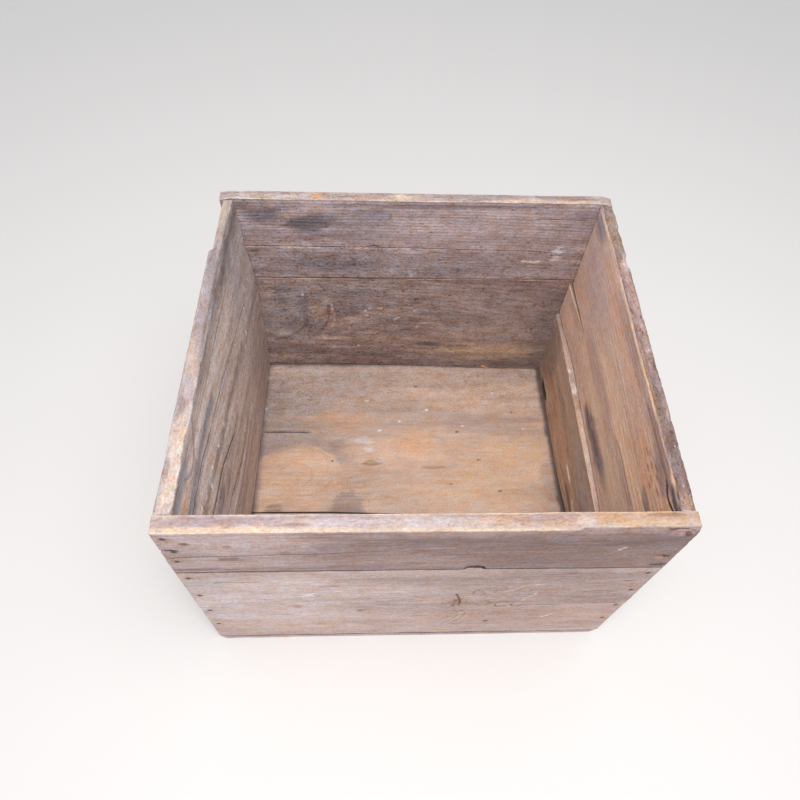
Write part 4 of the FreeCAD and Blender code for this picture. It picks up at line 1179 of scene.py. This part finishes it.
    # Painted shade in the seam along the front edge, towards the left.
    b.shade_and_grime = np.maximum(b.shade_and_grime, (0.7 - 0.7 * ramp(-80, 0, b.a)) * ramp(1.0, 0.4, b.b_box))
    # Painted light: a small gain on the floor's face, cooler in hue.
    b.tone("inner", 0.97, 1.05, 1.10)
    b.stroke("inner", [(-166, -41), (-158, -42), (-148, -41)], 1.2, (214, 180, 144), 0.8)
    return b, FLOORING, "bottom_board", (TAN_DARK, 0.0), 0.0


def bottom_front():
    """The narrow bottom board under the front."""
    b = Board("bottom_front_board", ("x", "y", "z"), seed=97)
    b.ring = b.t / 6 + 0.7 * rough(b.a / 110, b.t / 25, 19)
    b.base("inner", TAN_LIGHT, GREY_DARK, (120, 12))
    b.base("outer", GREY_LIGHT, GREY_DARK, (110, 12))
    for edge in ("top", "bottom"):
        b.base(edge, (212, 194, 188), (172, 150, 144), (70, 5))
    end_grain(b, GREY_LIGHT, MAUVE_DARK)
    worn_corners(b)
    b.cut["top"] += -1.0 + 3.4 * ramp(-120, 20, b.a)
    b.radius *= 0.4
    floor_edge_dirt_and_shade(b, -177, 170.5, -162, NO_WALL)
    return b, FLOORING, "bottom_board", (GREY_LIGHT, 0.0), 0.0


for make in (front_upper, front_lower, rear_upper, rear_lower, left_side, right_upper, right_lower,
             bottom_rear, bottom_front):
    board, material, slot, (rubbed, rub), ragged = make()
    if material is INSIDE:
        board.aged = np.where(board.on["outer"], 0.4, board.aged)
        board.lined = np.where(board.on["outer"], 0.24, board.lined)
    worn_arrises(board, rubbed, rub)
    weather(board, ragged)
    nail_pits(board)
    board.build(material, slot)


# ---------------------------------------------------------------- floor, light and camera

def stage():
    """A plain pale floor."""
    mesh = bpy.data.meshes.new("floor")
    size = 9.0
    corners = [(-size, -size, 0), (size, -size, 0), (size, size, 0), (-size, size, 0)]
    mesh.from_pydata(corners, [], [(0, 1, 2, 3)])
    n = Nodes("floor_paint")
    n.shader.inputs["Base Color"].default_value = (0.74, 0.72, 0.70, 1)
    n.shader.inputs["Roughness"].default_value = 0.85
    mesh.materials.append(n.material)
    floor = bpy.data.objects.new("floor", mesh)
    bpy.context.scene.collection.objects.link(floor)


def soft_light(name, place, target, size, power, colour):
    """A round area light that points at the target."""
    light = bpy.data.lights.new(name, "AREA")
    light.shape, light.size, light.energy, light.color = "DISK", size, power, colour
    lamp = bpy.data.objects.new(name, light)
    lamp.location = place
    aim = np.array(target) - np.array(place)
    lamp.rotation_euler = (math.atan2(math.hypot(aim[0], aim[1]), -aim[2]), 0,
                           math.atan2(aim[1], aim[0]) - math.pi / 2)
    bpy.context.scene.collection.objects.link(lamp)


def camera():
    """A wide lens above the front, looking down into the crate."""
    data = bpy.data.cameras.new("camera")
    data.type, data.sensor_width, data.lens = "PERSP", 36, 29.27
    data.clip_start = 0.01
    eye = bpy.data.objects.new("camera", data)
    eye.location = (-0.0475, -0.3522, 0.6818)
    eye.rotation_euler = Euler([math.radians(d) for d in (34.28, -2.295, -1.523)])
    bpy.context.scene.collection.objects.link(eye)
    bpy.context.scene.camera = eye


stage()
soft_light("key", (-0.05, -0.46, 1.2), (0, 0.05, 0.1), 0.4, 8.5, (1.0, 0.99, 1.0))
soft_light("fill", (0.35, -0.3, 1.5), (0, 0, 0.1), 1.0, 5, (1.0, 0.985, 0.98))
world = bpy.data.worlds.new("studio")
world.use_nodes = True
world.node_tree.nodes["Background"].inputs["Color"].default_value = (0.98, 1.0, 1.03, 1)
world.node_tree.nodes["Background"].inputs["Strength"].default_value = 0.72
bpy.context.scene.world = world
bpy.context.scene.view_settings.view_transform = "Standard"
camera()
